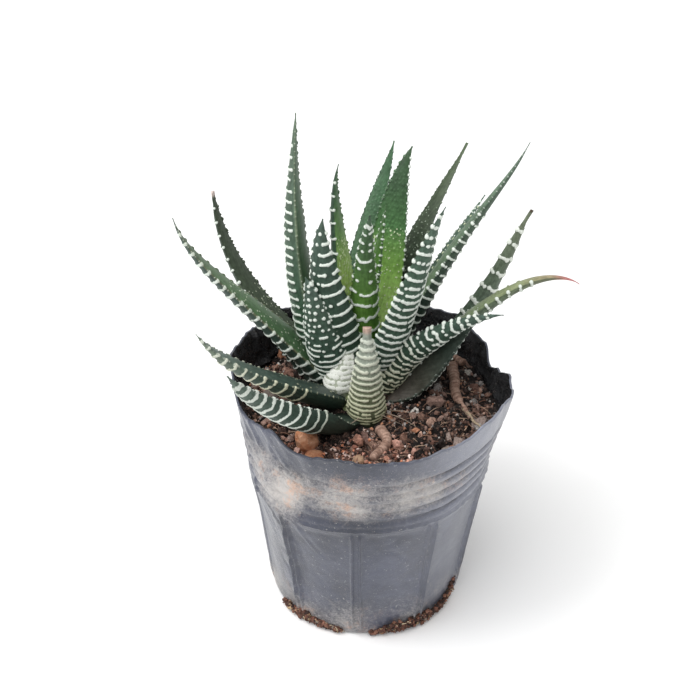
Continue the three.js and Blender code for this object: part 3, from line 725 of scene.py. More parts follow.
def band_nodes(leaf, share, arc, rng):
    """Where a band's tubercles stand across the outer face, and which run into the next one."""
    count = max(3, int(round(2 * arc / leaf.get("pitch", NODE_PITCH))) + 1)
    across = np.linspace(-1, 1, count)
    across[1:-1] += rng.uniform(-0.3, 0.3, count - 2) * 2 / (count - 1)
    join = np.interp(share, (0.1, leaf.get("join_to", 0.9)), leaf["join"])
    joined = rng.random(count - 1) < join
    if share > leaf.get("columns_from", 2):
        across = np.array([-1, *leaf["columns"], 1])
        across = across + rng.uniform(-0.07, 0.07, len(across))
        return across, rng.random(len(across) - 1) < COLUMN_JOIN
    if "keel" in leaf:
        crosses = (across[:-1] < leaf["keel"]) & (across[1:] >= leaf["keel"])
        joined &= ~crosses
        if leaf.get("dots_left") and share > FULL_FROM:
            joined[across[:-1] < leaf["keel"]] = False
    low, high = leaf.get("reach", (-1, 1))
    kept = (across >= low) & (across <= high)
    return across[kept], joined[kept[:-1]]


def tubercle_field(leaf, distance, around, arc, rng):
    """Distance to the nearest tubercle in its own radii, and how much of a tooth that tubercle is.

    around is the place across the leaf: -1 to 1 over the outer face, and beyond that on the inner face.
    """
    nearest = np.full(around.shape, FAR)
    tooth = np.zeros(around.shape)
    bow = leaf.get("bow", 0.8)
    length = leaf["length"]
    for place in band_places(leaf, rng):
        share = place / length
        row = int(np.searchsorted(distance, place))
        across, joined = band_nodes(leaf, share, arc[min(row, len(arc) - 1)], rng)
        half = lerp(leaf["half"][0], leaf["half"][1], share) * rng.uniform(0.88, 1.12, len(across))
        wobble = leaf.get("wave", 0.3) * rng.uniform(-0.6, 0.6, len(across))
        ahead = place + bow * across ** 2 * (1 - share) + wobble
        near = np.abs(distance - place) < bow + NEAR_BAND
        x = (around * arc[:, None])[near]
        y = np.broadcast_to(distance[near, None], x.shape)
        scale = arc[near, None]
        found = nearest[near]
        for j, spot in enumerate(across):
            if spot == leaf.get("plain"):
                continue
            is_tooth = abs(spot) > ON_MARGIN
            size = half[j] * (TOOTH_SWELL if is_tooth else 1)
            reach = np.hypot(x - spot * scale, y - ahead[j]) / size
            if is_tooth:
                tooth[near] = np.where(reach < np.minimum(found, 1), 1, tooth[near])
            found = np.minimum(found, reach)
            if j + 1 < len(across) and joined[j]:
                ends = (spot * scale, ahead[j]), (across[j + 1] * scale, ahead[j + 1])
                thin = BRIDGE * min(half[j], half[j + 1])
                found = np.minimum(found, segment_distance(x, y, *ends) / thin)
        nearest[near] = found
    for place in np.arange(3, length - 2, BEAD_PITCH):
        for spot, wanted in zip((-1, 1), leaf.get("beads", (1, 1))):
            if not wanted:
                continue
            at = place + rng.uniform(-0.4, 0.4)
            near = np.abs(distance - at) < NEAR_SPECK
            size = rng.uniform(*BEAD_RADII)
            reach = np.hypot((around[near] - spot) * arc[near, None], distance[near, None] - at) / size
            tooth[near] = np.where(reach < np.minimum(nearest[near], 1), BEAD_RISE, tooth[near])
            nearest[near] = np.minimum(nearest[near], reach)
    return nearest, tooth


def speck_field(spots, distance, x, inside):
    """1 in the middle of the nearest speck and 0 at its edge. A spot: place, across, size and stretch."""
    nearest = np.full(x.shape, FAR)
    for place, across, size, stretch in spots:
        near = np.abs(distance - place) < NEAR_SPECK
        gap = np.hypot((x[near] - across) / stretch, distance[near, None] - place) / size
        nearest[near] = np.minimum(nearest[near], np.where(inside[None, :], gap, FAR))
    return np.clip(1 - nearest, -1, 1)


def inner_specks(leaf, rng):
    """Pale tubercles scattered over the lower part of the inner face."""
    count, reach = leaf.get("specks", (0, 0))
    for _ in range(count):
        place = leaf["length"] * reach * rng.random() ** 0.8
        half = half_width(leaf, place)
        across = half * rng.uniform(-0.85, 0.85)
        yield place, across, rng.uniform(*SPECK_RADII), rng.uniform(0.75, 1.1)


def inner_rows(leaf, rng):
    """Low green bumps in rows over part of the inner face."""
    low, high = leaf.get("rows", (0, 0))
    for place in np.arange(low * leaf["length"], high * leaf["length"], ROW_GAP):
        half = half_width(leaf, place)
        for across in np.arange(-0.85 * half, 0.85 * half, BUMP_GAP):
            yield (place + rng.uniform(-0.4, 0.4), across + rng.uniform(-0.3, 0.3), BUMP_RADIUS,
                   BUMP_GAP)


def rounded(x):
    """Height of a ball's surface: 0 at its edge and 1 in its middle."""
    return np.sqrt(1 - (1 - x) ** 2)


def surface_normals(grid, middle):
    """Outward normals of a closed grid of rings round their middles."""
    down = np.gradient(grid, axis=0)
    round_ = np.roll(grid, -1, 1) - np.roll(grid, 1, 1)
    normal = np.cross(round_, down)
    normal /= np.maximum(np.linalg.norm(normal, axis=-1, keepdims=True), 1e-9)
    outward = np.sum(normal * (grid - middle[:, None]), -1).sum()
    return normal * np.sign(outward)


def leaf_section(leaf, half, depth):
    """The ring of points in each row, the domed outer face first and then the inner face.

    Returns the places across, which of them are on the inner face, the height of each point over the
    margins, half the length round the outer face, the places round the ring as in tubercle_field, and the
    distances round it.
    """
    outer = -np.cos(np.linspace(0, math.pi, OUTER_POINTS))
    points = SPECKLED_POINTS if "specks" in leaf or "rows" in leaf else INNER_POINTS
    back = np.sin(np.linspace(1, -1, points) * math.pi / 2)[1:-1]
    t = np.concatenate([outer, back])
    inside = np.arange(len(t)) >= OUTER_POINTS
    dome = -depth[:, None] * (1 - t ** 2)[None, :] ** DOME_POWER
    swell = INNER_RISE * half[:, None] * (1 - t ** 2)[None, :]
    steps = np.hypot(np.diff(half[:, None] * outer, axis=1), np.diff(dome[:, :OUTER_POINTS], axis=1))
    arc_at = np.concatenate([np.zeros((len(half), 1)), np.cumsum(steps, 1)], 1)
    arc = arc_at[:, -1] / 2
    past_margin = 1 + (1 - np.abs(back)) * half[:, None] / arc[:, None]
    around = np.concatenate([arc_at / arc[:, None] - 1, np.where(back < 0, -1, 1) * past_margin], 1)
    distance_round = around * arc[:, None]
    distance_round[:, OUTER_POINTS:] = arc[:, None] + half[:, None] * (1 - back)
    return t, inside, np.where(inside[None, :], swell, dome), arc, around, distance_round


def face_colours(leaf, share, around):
    """Colours of the skin: the outer face, the margins, the inner face and the dry point."""
    skin, face = shades(leaf["skin"], share)[:, None], shades(leaf["face"], share)[:, None]
    colour = lerp(skin, face, smooth((np.abs(around) - 0.94) / 0.12)[:, :, None])
    if "edge" in leaf:
        margin = hump(np.abs(around), 1.02, 0.06)[:, :, None]
        colour = lerp(colour, linear(leaf["edge"]), margin * 0.8)
    if "point" in leaf:
        starts = leaf.get("point_from", POINT_FROM)
        end = smooth((share - starts) / (1 - starts) * 1.5)[:, None, None]
        colour = lerp(colour, linear(leaf["point"]), end)
    return colour


def pearl_colours(leaf, share, around, colour, field, specks, tooth):
    """Colours of the tubercles, specks, teeth and beads, where they stand out of the skin's colour."""
    pearl = shades(leaf.get("pearl", (WHITE, WHITE)), share)[:, None] + 0 * colour
    if "speck_colour" in leaf:
        pearl = np.where((specks > field)[:, :, None], linear(leaf["speck_colour"]), pearl)
    toothed = (tooth > 0) & (field > specks)
    for side, code in zip((-1, 1), leaf.get("teeth", ())):
        own = toothed & (np.sign(around) == side)
        pearl = np.where(own[:, :, None], linear(code), pearl)
    bead = toothed & (tooth < 1)
    return np.where(bead[:, :, None], lerp(colour, pearl, BEAD_WHITE), pearl)


def add_leaf(leaf, index, material):
    """A leaf's skin, with its tubercles, teeth, beads, specks and bumps raised out of it."""
    rng = np.random.default_rng(100 + index)
    rows = int(leaf["length"] / ROW_PITCH)
    spine, inner, side, share = leaf_spine(leaf, rows)
    distance = np.concatenate([[-LEAF_ROOT], share[1:] * leaf["length"]])
    width = leaf_width(leaf, share)
    half = width / 2
    depth = width * leaf.get("thickness", LEAF_THICKNESS)
    t, inside, up, arc, around, streak_place = leaf_section(leaf, half, depth)
    grid = (spine[:, None] + side[:, None] * (half[:, None] * t)[:, :, None]
            + inner[:, None] * up[:, :, None])
    nearest, tooth = tubercle_field(leaf, distance, around, arc, rng)
    field = np.clip(1 - nearest * (1 + 0.28 * noise(grid, 1.0, index)), -1, 1)
    specks = speck_field(inner_specks(leaf, rng), distance, half[:, None] * t, inside)
    bumps = np.clip(speck_field(inner_rows(leaf, rng), distance, half[:, None] * t, inside), 0, 1)
    normal = surface_normals(grid, spine)
    raised = np.clip(field, 0, 1)
    high = TUBERCLE_HEIGHT * leaf.get("relief", 1) * np.minimum(1, width / 5)
    tall = lerp(high[:, None], leaf.get("tooth", TOOTH_HEIGHT), tooth * smooth(width / 3)[:, None])
    lift = tall * rounded(raised)
    lift += SPECK_HEIGHT * rounded(np.clip(specks, 0, 1)) + BUMP_HEIGHT * smooth(bumps)
    sway = noise(spine[:, None] + 0 * grid, SWAY_SIZE, index) * SWAY
    grid = grid + normal * (lift + sway * np.minimum(1, half / 3)[:, None])[:, :, None]

    colour = face_colours(leaf, share, around)
    pearl = pearl_colours(leaf, share, around, colour, field, specks, tooth)
    # Painted highlight: the green bumps are made lighter than the skin.
    colour = colour * (1 + BUMP_HIGHLIGHT * bumps)[:, :, None]
    field = np.maximum(field, specks)
    if "point" in leaf:
        field = np.where(share[:, None] > leaf.get("point_from", POINT_FROM), -1, field)
    flow = np.broadcast_to(distance[:, None] * STREAK_STRETCH, around.shape)

    full, faces = capped_tube(grid)
    ends = lambda value: np.concatenate([value[:1], value, value[-1:]])
    add_mesh(
        leaf["name"] + "_skin", full, faces, [material],
        colours={"skin": ends(colour), "pearl": ends(pearl)},
        values={"tubercle": ends(field), "across": ends(streak_place), "along": ends(flow)},
        slot=leaf.get("slot", "leaf"), replaces=[leaf["name"]])


# ------------------------------------------------------------------ pot
POT_TOP_RADIUS = 45
POT_BASE_RADIUS = 32.4
POT_HEIGHT = 83
FILM = 0.7              # thickness of the film
FOOT_ROUNDING = 1.6
LEAN_FROM = 56          # height from which the wall may lean in or out
PRESS_DEPTH = 1.6       # how far the soft wall is pressed in on its left
PRESS_AT = 190          # azimuth of the middle of that hollow
PRESS_SPAN = 60         # degrees that it reaches to each side
PRESS_FULL = 44         # height from which it has its full depth
RIB_SPAN = 36           # degrees from one double rib to the next
RIB_TURN = 265          # azimuth of the double rib nearest to the front
RIB_HEIGHT = 1.1
RIB_APART = 1.3         # from the middle of a double rib to each of its lines
RIB_WIDTH = 0.36
PANEL_SAG = 0.6         # of the film between the ribs
RING_LINE = 53          # raised line over the ribs
RING_LINE_HEIGHT = 0.9
GROOVES = (57, 61, 65, 69, 73)
GROOVE_DEPTH = 1.1
GROOVE_WIDTH = 0.8
GROOVE_SHADE_WIDTH = 0.55       # of the painted shade in a groove
MOST_INSIDE = 0.4       # of the outside's relief that shows in the lining
LINING_SPARE = 1.9      # room between the wall and the hidden part of the lining
LINING_HIDDEN = (48, 25, 2, 0.9)    # heights of its rows
FLOOR_RADIUS = POT_BASE_RADIUS - 1.5
FLOOR_LEVEL = 0.5       # of the middle of the floor's thickness
DRAIN_HOLES = 6
DRAIN_RADIUS = 2        # of a hole
DRAIN_CIRCLE = 21       # that the holes stand on
POT_COLUMNS = 600       # round the pot
OUTER_ROWS = 108        # up the outside
LINING_ROWS = 44        # down the seen part of the lining
LINING_FROM = 54        # height where the seen part of the lining starts

RIM_TEARS = [(9, 0, 0.45), (17, 40, 0.35)]     # waves round the rim: count, phase and height

# The torn rim: azimuth, height over POT_HEIGHT and how far the wall leans out there.
RIM = np.array([
    (0, -1, 1.5), (12, -4, 0.5), (20, -6, 0), (27, 0, 0), (45, 2, 0), (90, 2, 0), (140, 3, 0),
    (170, 3, 0.2), (186, 0.5, -0.8), (200, -1.5, -1.1), (214, -1, -1.8), (228, 3, -2), (238, -1, -1),
    (248, -0.5, -0.3), (265, 1, 0), (290, 0, 0), (315, 1.5, 0), (335, 1.5, 0.5), (348, 0.5, 2),
    (360, -1, 1.5),
])


def rim_at(azimuth):
    """Height and lean of the rim, before its small nicks."""
    turn = np.mod(azimuth, 360)
    index = np.clip(np.searchsorted(RIM[:, 0], turn, side="left"), 1, len(RIM) - 1)
    low, high = RIM[index - 1], RIM[index]
    share = smooth((turn - low[..., 0]) / (high[..., 0] - low[..., 0]))
    tear = sum(height * np.sin(np.radians(count * turn + phase)) for count, phase, height in RIM_TEARS)
    height = POT_HEIGHT + lerp(low[..., 1], high[..., 1], share) + tear
    return height, lerp(low[..., 2], high[..., 2], share)


def near_turn(azimuth, middle, reach):
    """1 at an azimuth, falling to 0 at reach degrees from it."""
    gap = np.abs(np.mod(azimuth - middle + 180, 360) - 180)
    return smooth(1 - gap / reach)


def wall_radius(azimuth, z):
    """Radius of the plain wall, with its lean at the rim and the hollow in its left."""
    taper = lerp(POT_BASE_RADIUS, POT_TOP_RADIUS, z / POT_HEIGHT)
    lean = rim_at(azimuth)[1] * smooth((z - LEAN_FROM) / (POT_HEIGHT - LEAN_FROM))
    return taper + lean - PRESS_DEPTH * near_turn(azimuth, PRESS_AT, PRESS_SPAN) * smooth(z / PRESS_FULL)


def in_grooves(z, width):
    """1 in the middle of each groove round the pot, 0 between them."""
    return sum(hump(z, groove, width) for groove in GROOVES)


def film_relief(azimuth, z, radius):
    """How far the film's outside stands from the plain wall."""
    place = polar(radius, azimuth, z)
    turn = np.mod(azimuth - RIB_TURN + RIB_SPAN / 2, RIB_SPAN) - RIB_SPAN / 2
    along = turn * math.pi / 180 * radius
    on_panel = smooth((z - 2) / 4) * smooth((RING_LINE - 1.5 - z) / 2)
    ribs = RIB_HEIGHT * hump(np.abs(along), RIB_APART, RIB_WIDTH) * on_panel
    sag = PANEL_SAG * smooth(np.abs(turn) / 10) * on_panel
    line = RING_LINE_HEIGHT * (hump(z, RING_LINE, 0.6) + 0.5 * hump(z, RING_LINE + 2, 0.5))
    strength = 0.4 + 0.7 * (near_turn(azimuth, 320, 55) + near_turn(azimuth, 150, 110))
    rings = GROOVE_DEPTH * in_grooves(z, GROOVE_WIDTH) * np.clip(strength, 0, 1)
    broad = 0.7 * noise(place, 24, 3, 2) * smooth(z / 20)
    tall = place * np.array([1, 1, 0.3])
    crumpled = near_turn(azimuth, 222, 42) + 0.5 * near_turn(azimuth, 345, 30)
    creases = 0.55 * ridges(tall, 11, 5) * crumpled * smooth((z - 30) / 25)
    dents = 0.8 * ridges(place, 9, 9) * near_turn(azimuth, 228, 16) * on_panel
    dents = dents + 0.6 * ridges(place, 9, 12) * near_turn(azimuth, 284, 13) * on_panel
    small = 0.12 * noise(place, 3.5, 7, 2)
    arc = np.radians(azimuth) * POT_TOP_RADIUS
    slanted = np.stack([0.77 * arc + 0.64 * z, 0.2 * (0.64 * arc - 0.77 * z), 0 * z], -1)
    folds = 0.7 * ridges(slanted, 6, 17) + 0.3 * ridges(slanted, 2.4, 18)
    folds = folds * near_turn(azimuth, 224, 36) * smooth((z - 30) / 22)
    flat_left = 1 - 0.6 * near_turn(azimuth, 195, 25)
    return (ribs + line) * flat_left - sag - rings + broad + creases + folds - 0.6 * dents + small


def rim_height(azimuth):
    """The rim with its small nicks and frays."""
    place = on_line(azimuth * 0.7)
    return rim_at(azimuth)[0] + 0.8 * noise(place, 4.5, 21, 2) + 0.35 * noise(place, 1.2, 22)


def foot_rows(azimuth):
    """Radius and height of the rows that round the pot's lower edge."""
    turn = np.radians([[90], [60], [30]]) + 0 * azimuth
    return POT_BASE_RADIUS - FOOT_ROUNDING * (1 - np.cos(turn)), FOOT_ROUNDING * (1 - np.sin(turn))


def outer_rows(azimuth, top):
    """Radius and height of the rows of the pot's outside, from the foot up."""
    z = lerp(FOOT_ROUNDING, top, np.linspace(0, 1, OUTER_ROWS)[:, None])
    turns = azimuth + 0 * z
    radius = wall_radius(turns, z)
    return radius + film_relief(turns, z, radius) * smooth(z / 3) * smooth((top - z) / 2 + 0.4), z


def lining_rows(azimuth, top):
    """Radius and height of the crinkled rows of the pot's inside, from the rim down."""
    z = lerp(LINING_FROM, top, np.linspace(1, 0, LINING_ROWS)[:, None])
    turns = azimuth + 0 * z
    wall = wall_radius(turns, z)
    relief = film_relief(turns, z, wall) * smooth((top - z) / 2 + 0.4)
    radius = wall + np.minimum(relief, MOST_INSIDE) - FILM
    place = polar(radius, turns, z)
    tall = place * np.array([1, 1, 0.4])
    crinkles = 1.3 * ridges(tall, 9, 31, 3) + 0.5 * ridges(place, 4, 33, 2)
    return radius - smooth((top - z) / 3) * crinkles, z


def hidden_rows(azimuth):
    """Radius and height of the rows behind the mix."""
    z = np.array(LINING_HIDDEN)[:, None] + 0 * azimuth
    return wall_radius(azimuth + 0 * z, z) - FILM - LINING_SPARE, z


def film_values(turns, z, grid):
    """Where the film is dusty, where a painted sheen makes it pale, and the painted shade in each groove.
    """
    belt = 1.25 * hump(z, 67, 8.5) * (0.35 + 0.65 * near_turn(turns, 272, 55))
    patches = 0.6 * near_turn(turns, 225, 26) * hump(z, 60, 14)
    low = 0.7 * smooth(1 - z / 26)
    dust = np.clip(belt + patches + low, 0, 1) * (0.7 + 0.7 * noise(grid, 10, 41, 2))
    # Painted sheen: the right side, and its edge seen from the front, are made paler.
    pale = 0.9 * near_turn(turns, 322, 52) * lerp(0.45, 1, smooth((z - 46) / 12))
    pale = np.maximum(pale, 0.55 * near_turn(turns, 355, 34)) * smooth((z - 4) / 26)
    # Painted shade in the grooves, strongest where the light falls.
    lit = np.clip(near_turn(turns, 322, 52) + 0.35 * near_turn(turns, 270, 60), 0, 1)
    groove_shade = in_grooves(z, GROOVE_SHADE_WIDTH) * lit * (0.8 + 0.6 * noise(grid, 6, 43, 2))
    return {"dust": dust, "pale": pale, "groove_shade": groove_shade}


def add_pot(outside, lining):
    """The film as one ring of rows: up the outside, over the rim and down the inside."""
    azimuth = np.arange(POT_COLUMNS) * 360 / POT_COLUMNS
    top = rim_height(azimuth)
    parts = [foot_rows(azimuth), outer_rows(azimuth, top), lining_rows(azimuth, top), hidden_rows(azimuth)]
    radius, z = (np.concatenate(rows) for rows in zip(*parts))
    grid = polar(radius, azimuth, z)
    faces = grid_faces(len(z) + 1, POT_COLUMNS) % z.size
    outside_rows = len(parts[0][1]) + OUTER_ROWS
    slots = (np.arange(len(faces)) // POT_COLUMNS >= outside_rows).astype(int)
    add_mesh("pot_film", grid, faces, [outside, lining], values=film_values(azimuth + 0 * z, z, grid),
             slots=slots, slot="pot", replaces=["pot"])


def add_pot_floor(material):
    """The pot's flat floor with its drain holes, from one filled outline."""
    curve = bpy.data.curves.new("pot_floor", "CURVE")
    curve.dimensions = "2D"
    curve.fill_mode = "BOTH"
    curve.extrude = FILM / 2 * MM
    circles = [(0, 0, FLOOR_RADIUS, 120)]
    for hole in range(DRAIN_HOLES):
        angle = math.radians(360 / DRAIN_HOLES * (hole + 0.5))
        circles.append((DRAIN_CIRCLE * math.cos(angle), DRAIN_CIRCLE * math.sin(angle), DRAIN_RADIUS, 24))
    for x, y, radius, count in circles:
        spline = curve.splines.new("POLY")
        spline.points.add(count - 1)
        spline.use_cyclic_u = True
        for i in range(count):
            turn = 2 * math.pi * i / count
            place = (x + radius * math.cos(turn), y + radius * math.sin(turn))
            spline.points[i].co = (place[0] * MM, place[1] * MM, 0, 1)
    holder = bpy.data.objects.new("pot_floor_curve", curve)
    bpy.context.collection.objects.link(holder)
    filled = holder.evaluated_get(bpy.context.evaluated_depsgraph_get())
    shape = bpy.data.meshes.new_from_object(filled)
    bpy.data.objects.remove(holder)
    made = bmesh.new()
    made.from_mesh(shape)
    bmesh.ops.remove_doubles(made, verts=made.verts, dist=0.001 * MM)
    bmesh.ops.recalc_face_normals(made, faces=made.faces)
    bmesh.ops.translate(made, vec=(0, 0, FLOOR_LEVEL * MM), verts=made.verts)
    made.to_mesh(shape)
    made.free()
    shape.materials.clear()
    shape.materials.append(material)
    piece = bpy.data.objects.new("pot_floor", shape)
    bpy.context.collection.objects.link(piece)
    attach(piece, "root")


# ------------------------------------------------------------------ potting mix
SOIL_LEVEL = 72         # at the wall; the mix is heaped a little round the plant
SOIL_HEAP = 2
SOIL_LUMP = 0.9
SOIL_GAP = 0.9          # between the mix's top and the lining
SOIL_SIDES = 520        # points round the mix
SOIL_RINGS = 150        # from its edge to its middle
SOIL_WALL = ((1.5, 6), (1.5, 2.4), (30, 2.4), (LEAN_FROM, 2.4), (66, 1.6))    # height and room
ROOM_ROWS = 40          # along a leaf, where crumbs are kept clear of it
CRUMB_ROUGHNESS = 0.75  # of its radius
CRUMB_CUTS = 5          # flat facets on a crumb
FIBRE_RINGS = 7
FIBRE_SIDES = 5
FIBRE_RADII = (0.09, 0.24)
FIBRE_COUNT = 1300

# Loose crumbs on the mix: name, count, least and greatest size, subdivision, how far they stand out of
# the mix and seed.
CRUMBS = [
    ("soil_clods", 165, 2.4, 5.2, 4, 0.05, 61),
    ("soil_crumbs_coarse", 780, 1.1, 2.4, 3, 0.2, 62),
    ("soil_crumbs_small", 2500, 0.7, 1.4, 2, 0.3, 64),
    ("soil_crumbs_fine", 2400, 0.4, 0.9, 1, 0.3, 63),
]

# Tones of crumbs and the share of crumbs that have them.
CRUMB_TONES = [
    (("#30231d", "#4a372f", "#644e46"), 0.36),
    (("#7f5c4e", "#987565", "#b49284"), 0.38),
    (("#c98e6e", "#d4ac98", "#b8a298"), 0.17),
    (("#c0b8b4", "#e6ded6", "#9a928e"), 0.13),
]
SPILL_TONES = [
    (("#33201a", "#4a2e24", "#5a3a2e"), 0.55),
    (("#6b4536", "#7f5546", "#8f6452"), 0.37),
    (("#b59a7a", "#9b7a5e", "#8b7c70"), 0.08),
]
FIBRE_TONES = ("#6d4c3c", "#94705c", "#4d352b", "#b89c86")
SPILL_FIBRE_TONES = ("#6f523a", "#c4ab86", "#4d3828", "#d9c8a8")


def soil_height(x, y):
    """The mix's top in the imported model."""
    distance = np.hypot(x - CROWN[0], y - CROWN[1])
    heap = SOIL_HEAP * smooth(1 - distance / 36)
    lumps = (np.sin(x * 0.71 + 1.3 * np.sin(y * 0.37)) * np.cos(y * 0.83 + np.sin(x * 0.29))
             + 0.6 * np.sin(x * 1.37 - y * 1.11 + 2))
    edge = smooth((41 - np.hypot(x, y)) / 8)
    return SOIL_LEVEL + heap + SOIL_LUMP * lumps * edge


def crumbly(x, y):
    """The mix's top with its clods and grains."""
    flat = np.stack([x, y, 0 * x], -1)
    clods = 2.6 * np.abs(noise(flat, 6.5, 51, 2)) + 1.5 * np.abs(noise(flat, 2.6, 52, 2))
    return soil_height(x, y) + clods + 0.6 * noise(flat, 1.1, 53, 2) - 1.1


def add_soil(material):
    """The mix: rows up its side, then rings of its crumbly top. Painted shade darkens the hollows; the mix
    is also darker at the right and lighter in front.
    """
    azimuth = np.arange(SOIL_SIDES) * 360 / SOIL_SIDES
    edge = wall_radius(azimuth, SOIL_LEVEL) - FILM - SOIL_GAP
    top = polar(np.linspace(1, 0.01, SOIL_RINGS)[:, None] ** 0.8 * edge, azimuth, 0)
    top[..., 2] = crumbly(top[..., 0], top[..., 1])
    sides = [polar(wall_radius(azimuth, z) - FILM - room, azimuth, z) for z, room in SOIL_WALL]
    full, faces = capped_tube(np.concatenate([np.array(sides), top]))
    x, y, z = np.moveaxis(full, -1, 0)
    right = smooth((x - 6) / 20)
    # Painted shade: the height value is low in the hollows, and the soil material paints it dark.
    height = smooth((z - soil_height(x, y) + 0.8) / 2.6) - 0.3 * right
    height = height + 0.25 * (1 - right) * smooth((-y - 14) / 12)
    add_mesh("soil_bed", full, faces, [material], values={"height": height}, slot="soil",
             replaces=["soil"])


def ball(level):
    """Points and triangles of a unit ball of the given subdivision."""
    made = bmesh.new()
    bmesh.ops.create_icosphere(made, subdivisions=level, radius=1)
    points = np.array([v.co[:] for v in made.verts])
    faces = np.array([[v.index for v in f.verts] for f in made.faces])
    made.free()
    return points, faces


def random_turns(count, rng):
    """Random rotation matrices."""
    q = rng.normal(size=(count, 4))
    w, x, y, z = (q / np.linalg.norm(q, axis=1, keepdims=True)).T
    return np.stack([
        1 - 2 * (y * y + z * z), 2 * (x * y - z * w), 2 * (x * z + y * w),
        2 * (x * y + z * w), 1 - 2 * (x * x + z * z), 2 * (y * z - x * w),
        2 * (x * z - y * w), 2 * (y * z + x * w), 1 - 2 * (x * x + y * y)], -1).reshape(-1, 3, 3)


def crumb_cloud(name, centres, sizes, tones, level, material, seed, replaces=()):
    """Lumpy crumbs of the given centres, sizes and colours as one piece."""
    rng = np.random.default_rng(seed)
    shape, faces = ball(level)
    count = len(centres)
    lumps = noise(shape[None] + 9.7 * np.arange(count)[:, None, None], 0.75, seed, 3)
    local = shape[None] * rng.uniform(0.5, 1.35, (count, 1, 3))
    local = local * (1 + CRUMB_ROUGHNESS * lumps)[:, :, None]
    for _ in range(CRUMB_CUTS):
        facing = rng.normal(size=(count, 1, 3))
        facing /= np.linalg.norm(facing, axis=-1, keepdims=True)
        over = (local * facing).sum(-1, keepdims=True) - rng.uniform(0.4, 0.8, (count, 1, 1))
        local = local - facing * np.clip(over, 0, None)
    local = np.einsum("nij,nvj->nvi", random_turns(count, rng), local)
    points = centres[:, None] + local * (sizes / 2)[:, None, None]
    everything = (faces[None] + len(shape) * np.arange(count)[:, None, None]).reshape(-1, 3)
    colour = np.broadcast_to(tones[:, None], points.shape)
    add_mesh(name, points, everything, [material], colours={"tone": colour}, slot="soil",
             replaces=replaces)


def leaf_room():
    """Points along every leaf with the radius that it takes there, for keeping crumbs clear of them."""
    spots = []
    for leaf in LEAVES:
        spine, inner, _, share = leaf_spine(leaf, ROOM_ROWS)
        width = leaf_width(leaf, share)
        sunk = spine - inner * (0.2 * width)[:, None]
        spots.append(np.concatenate([sunk, 0.42 * width[:, None]], 1))
    return np.concatenate(spots)


def ground_room():
    """Points along the roots and in the pebbles with the radius that each takes."""
    spots = []
    for _, plan, diameter, _ in ROOTS:
        path = smooth_path([(x, y, soil_height(x, y) + 0.3 * diameter) for x, y in plan], 30)
        spots.append(np.concatenate([path, np.full((len(path), 1), 0.42 * diameter)], 1))
    for _, (x, y), size, *_ in PEBBLES:
        spots.append(np.array([[x, y, soil_height(x, y) + 0.3 * size, 0.45 * size]]))
    return np.concatenate(spots)


def clear_of(points, margin, spots):
    """Which points keep their own margin from all the spots."""
    gap = np.linalg.norm(points[:, None] - spots[None, :, :3], axis=-1) - spots[None, :, 3]
    return gap.min(1) > margin


def scatter_on_soil(count, rng, spots, sizes, sink):
    """Centres of crumbs on the mix that keep clear of the spots, with their sizes."""
    azimuth = rng.uniform(0, 360, count)
    edge = wall_radius(azimuth, SOIL_LEVEL) - FILM - 1.2 - sizes / 2
    radius = edge * np.sqrt(rng.random(count))
    centres = polar(radius, azimuth, 0)
    centres[:, 2] = crumbly(centres[:, 0], centres[:, 1]) + sizes * sink
    keep = clear_of(centres, sizes * 0.45, spots)
    return centres[keep], sizes[keep]


def crumb_tones(count, rng, tones=CRUMB_TONES):
    """A random colour for each crumb."""
    codes = [code for group, _ in tones for code in group]
    odds = np.array([weight / len(group) for group, weight in tones for _ in group])
    return palette(codes)[rng.choice(len(codes), count, p=odds / odds.sum())]


def crumb_shade(places):
    """Crumbs are darker at the right, and lighter and redder in front."""
    right = smooth((places[:, :1] - 4) / 24)
    front = smooth((-places[:, 1:2] - 14) / 12) * (1 - right)
    return (1 - 0.42 * right) * (1 + front * np.array([0.5, 0.22, 0.16]))


def add_crumbs(material):
    """Loose crumbs on the mix, clear of the leaves, roots and pebbles."""
    spots = np.concatenate([leaf_room(), ground_room()])
    for name, count, low, high, level, sink, seed in CRUMBS:
        rng = np.random.default_rng(seed)
        sizes = low + (high - low) * rng.random(count) ** 1.6
        centres, sizes = scatter_on_soil(count, rng, spots, sizes, sink)
        tones = crumb_tones(len(centres), rng) * crumb_shade(centres)
        crumb_cloud(name, centres, sizes, tones, level, material, seed)


def tube(points, radii, sides):
    """Rings of a tube along points."""
    along = np.gradient(points, axis=0)
    along /= np.linalg.norm(along, axis=1, keepdims=True)
    across = np.cross(along, [0.1, 0.2, 1.0])
    across /= np.linalg.norm(across, axis=1, keepdims=True)
    up = np.cross(across, along)
    angle = np.arange(sides) * 2 * math.pi / sides
    return (points[:, None] + radii[:, None, None] * (
        across[:, None] * np.cos(angle)[None, :, None] + up[:, None] * np.sin(angle)[None, :, None]))


def add_fibres(name, starts, headings, lengths, climbs, tones, material, seed):
    """Thin curved threads of coir as one piece."""
    rng = np.random.default_rng(seed)
    share = np.linspace(0, 1, FIBRE_RINGS)
    points, faces = [], []
    for start, heading, length, climb in zip(starts, headings, lengths, climbs):
        turn = heading + rng.uniform(-1.2, 1.2) * share
        arch = climb * length * 4 * share * (1 - share)
        step = length / (FIBRE_RINGS - 1)
        path = np.stack([np.cumsum(np.cos(turn)) * step, np.cumsum(np.sin(turn)) * step, arch], -1) + start
        radii = rng.uniform(*FIBRE_RADII) * (1 - 0.6 * share)
        rings, quads = capped_tube(tube(path, radii, FIBRE_SIDES))
        faces.append(quads + rings[..., 0].size * len(points))
        points.append(rings)
    points = np.array(points)
    colour = np.broadcast_to(tones[:, None, None], points.shape)
    add_mesh(name, points, np.concatenate(faces), [material], colours={"tone": colour}, slot="soil")


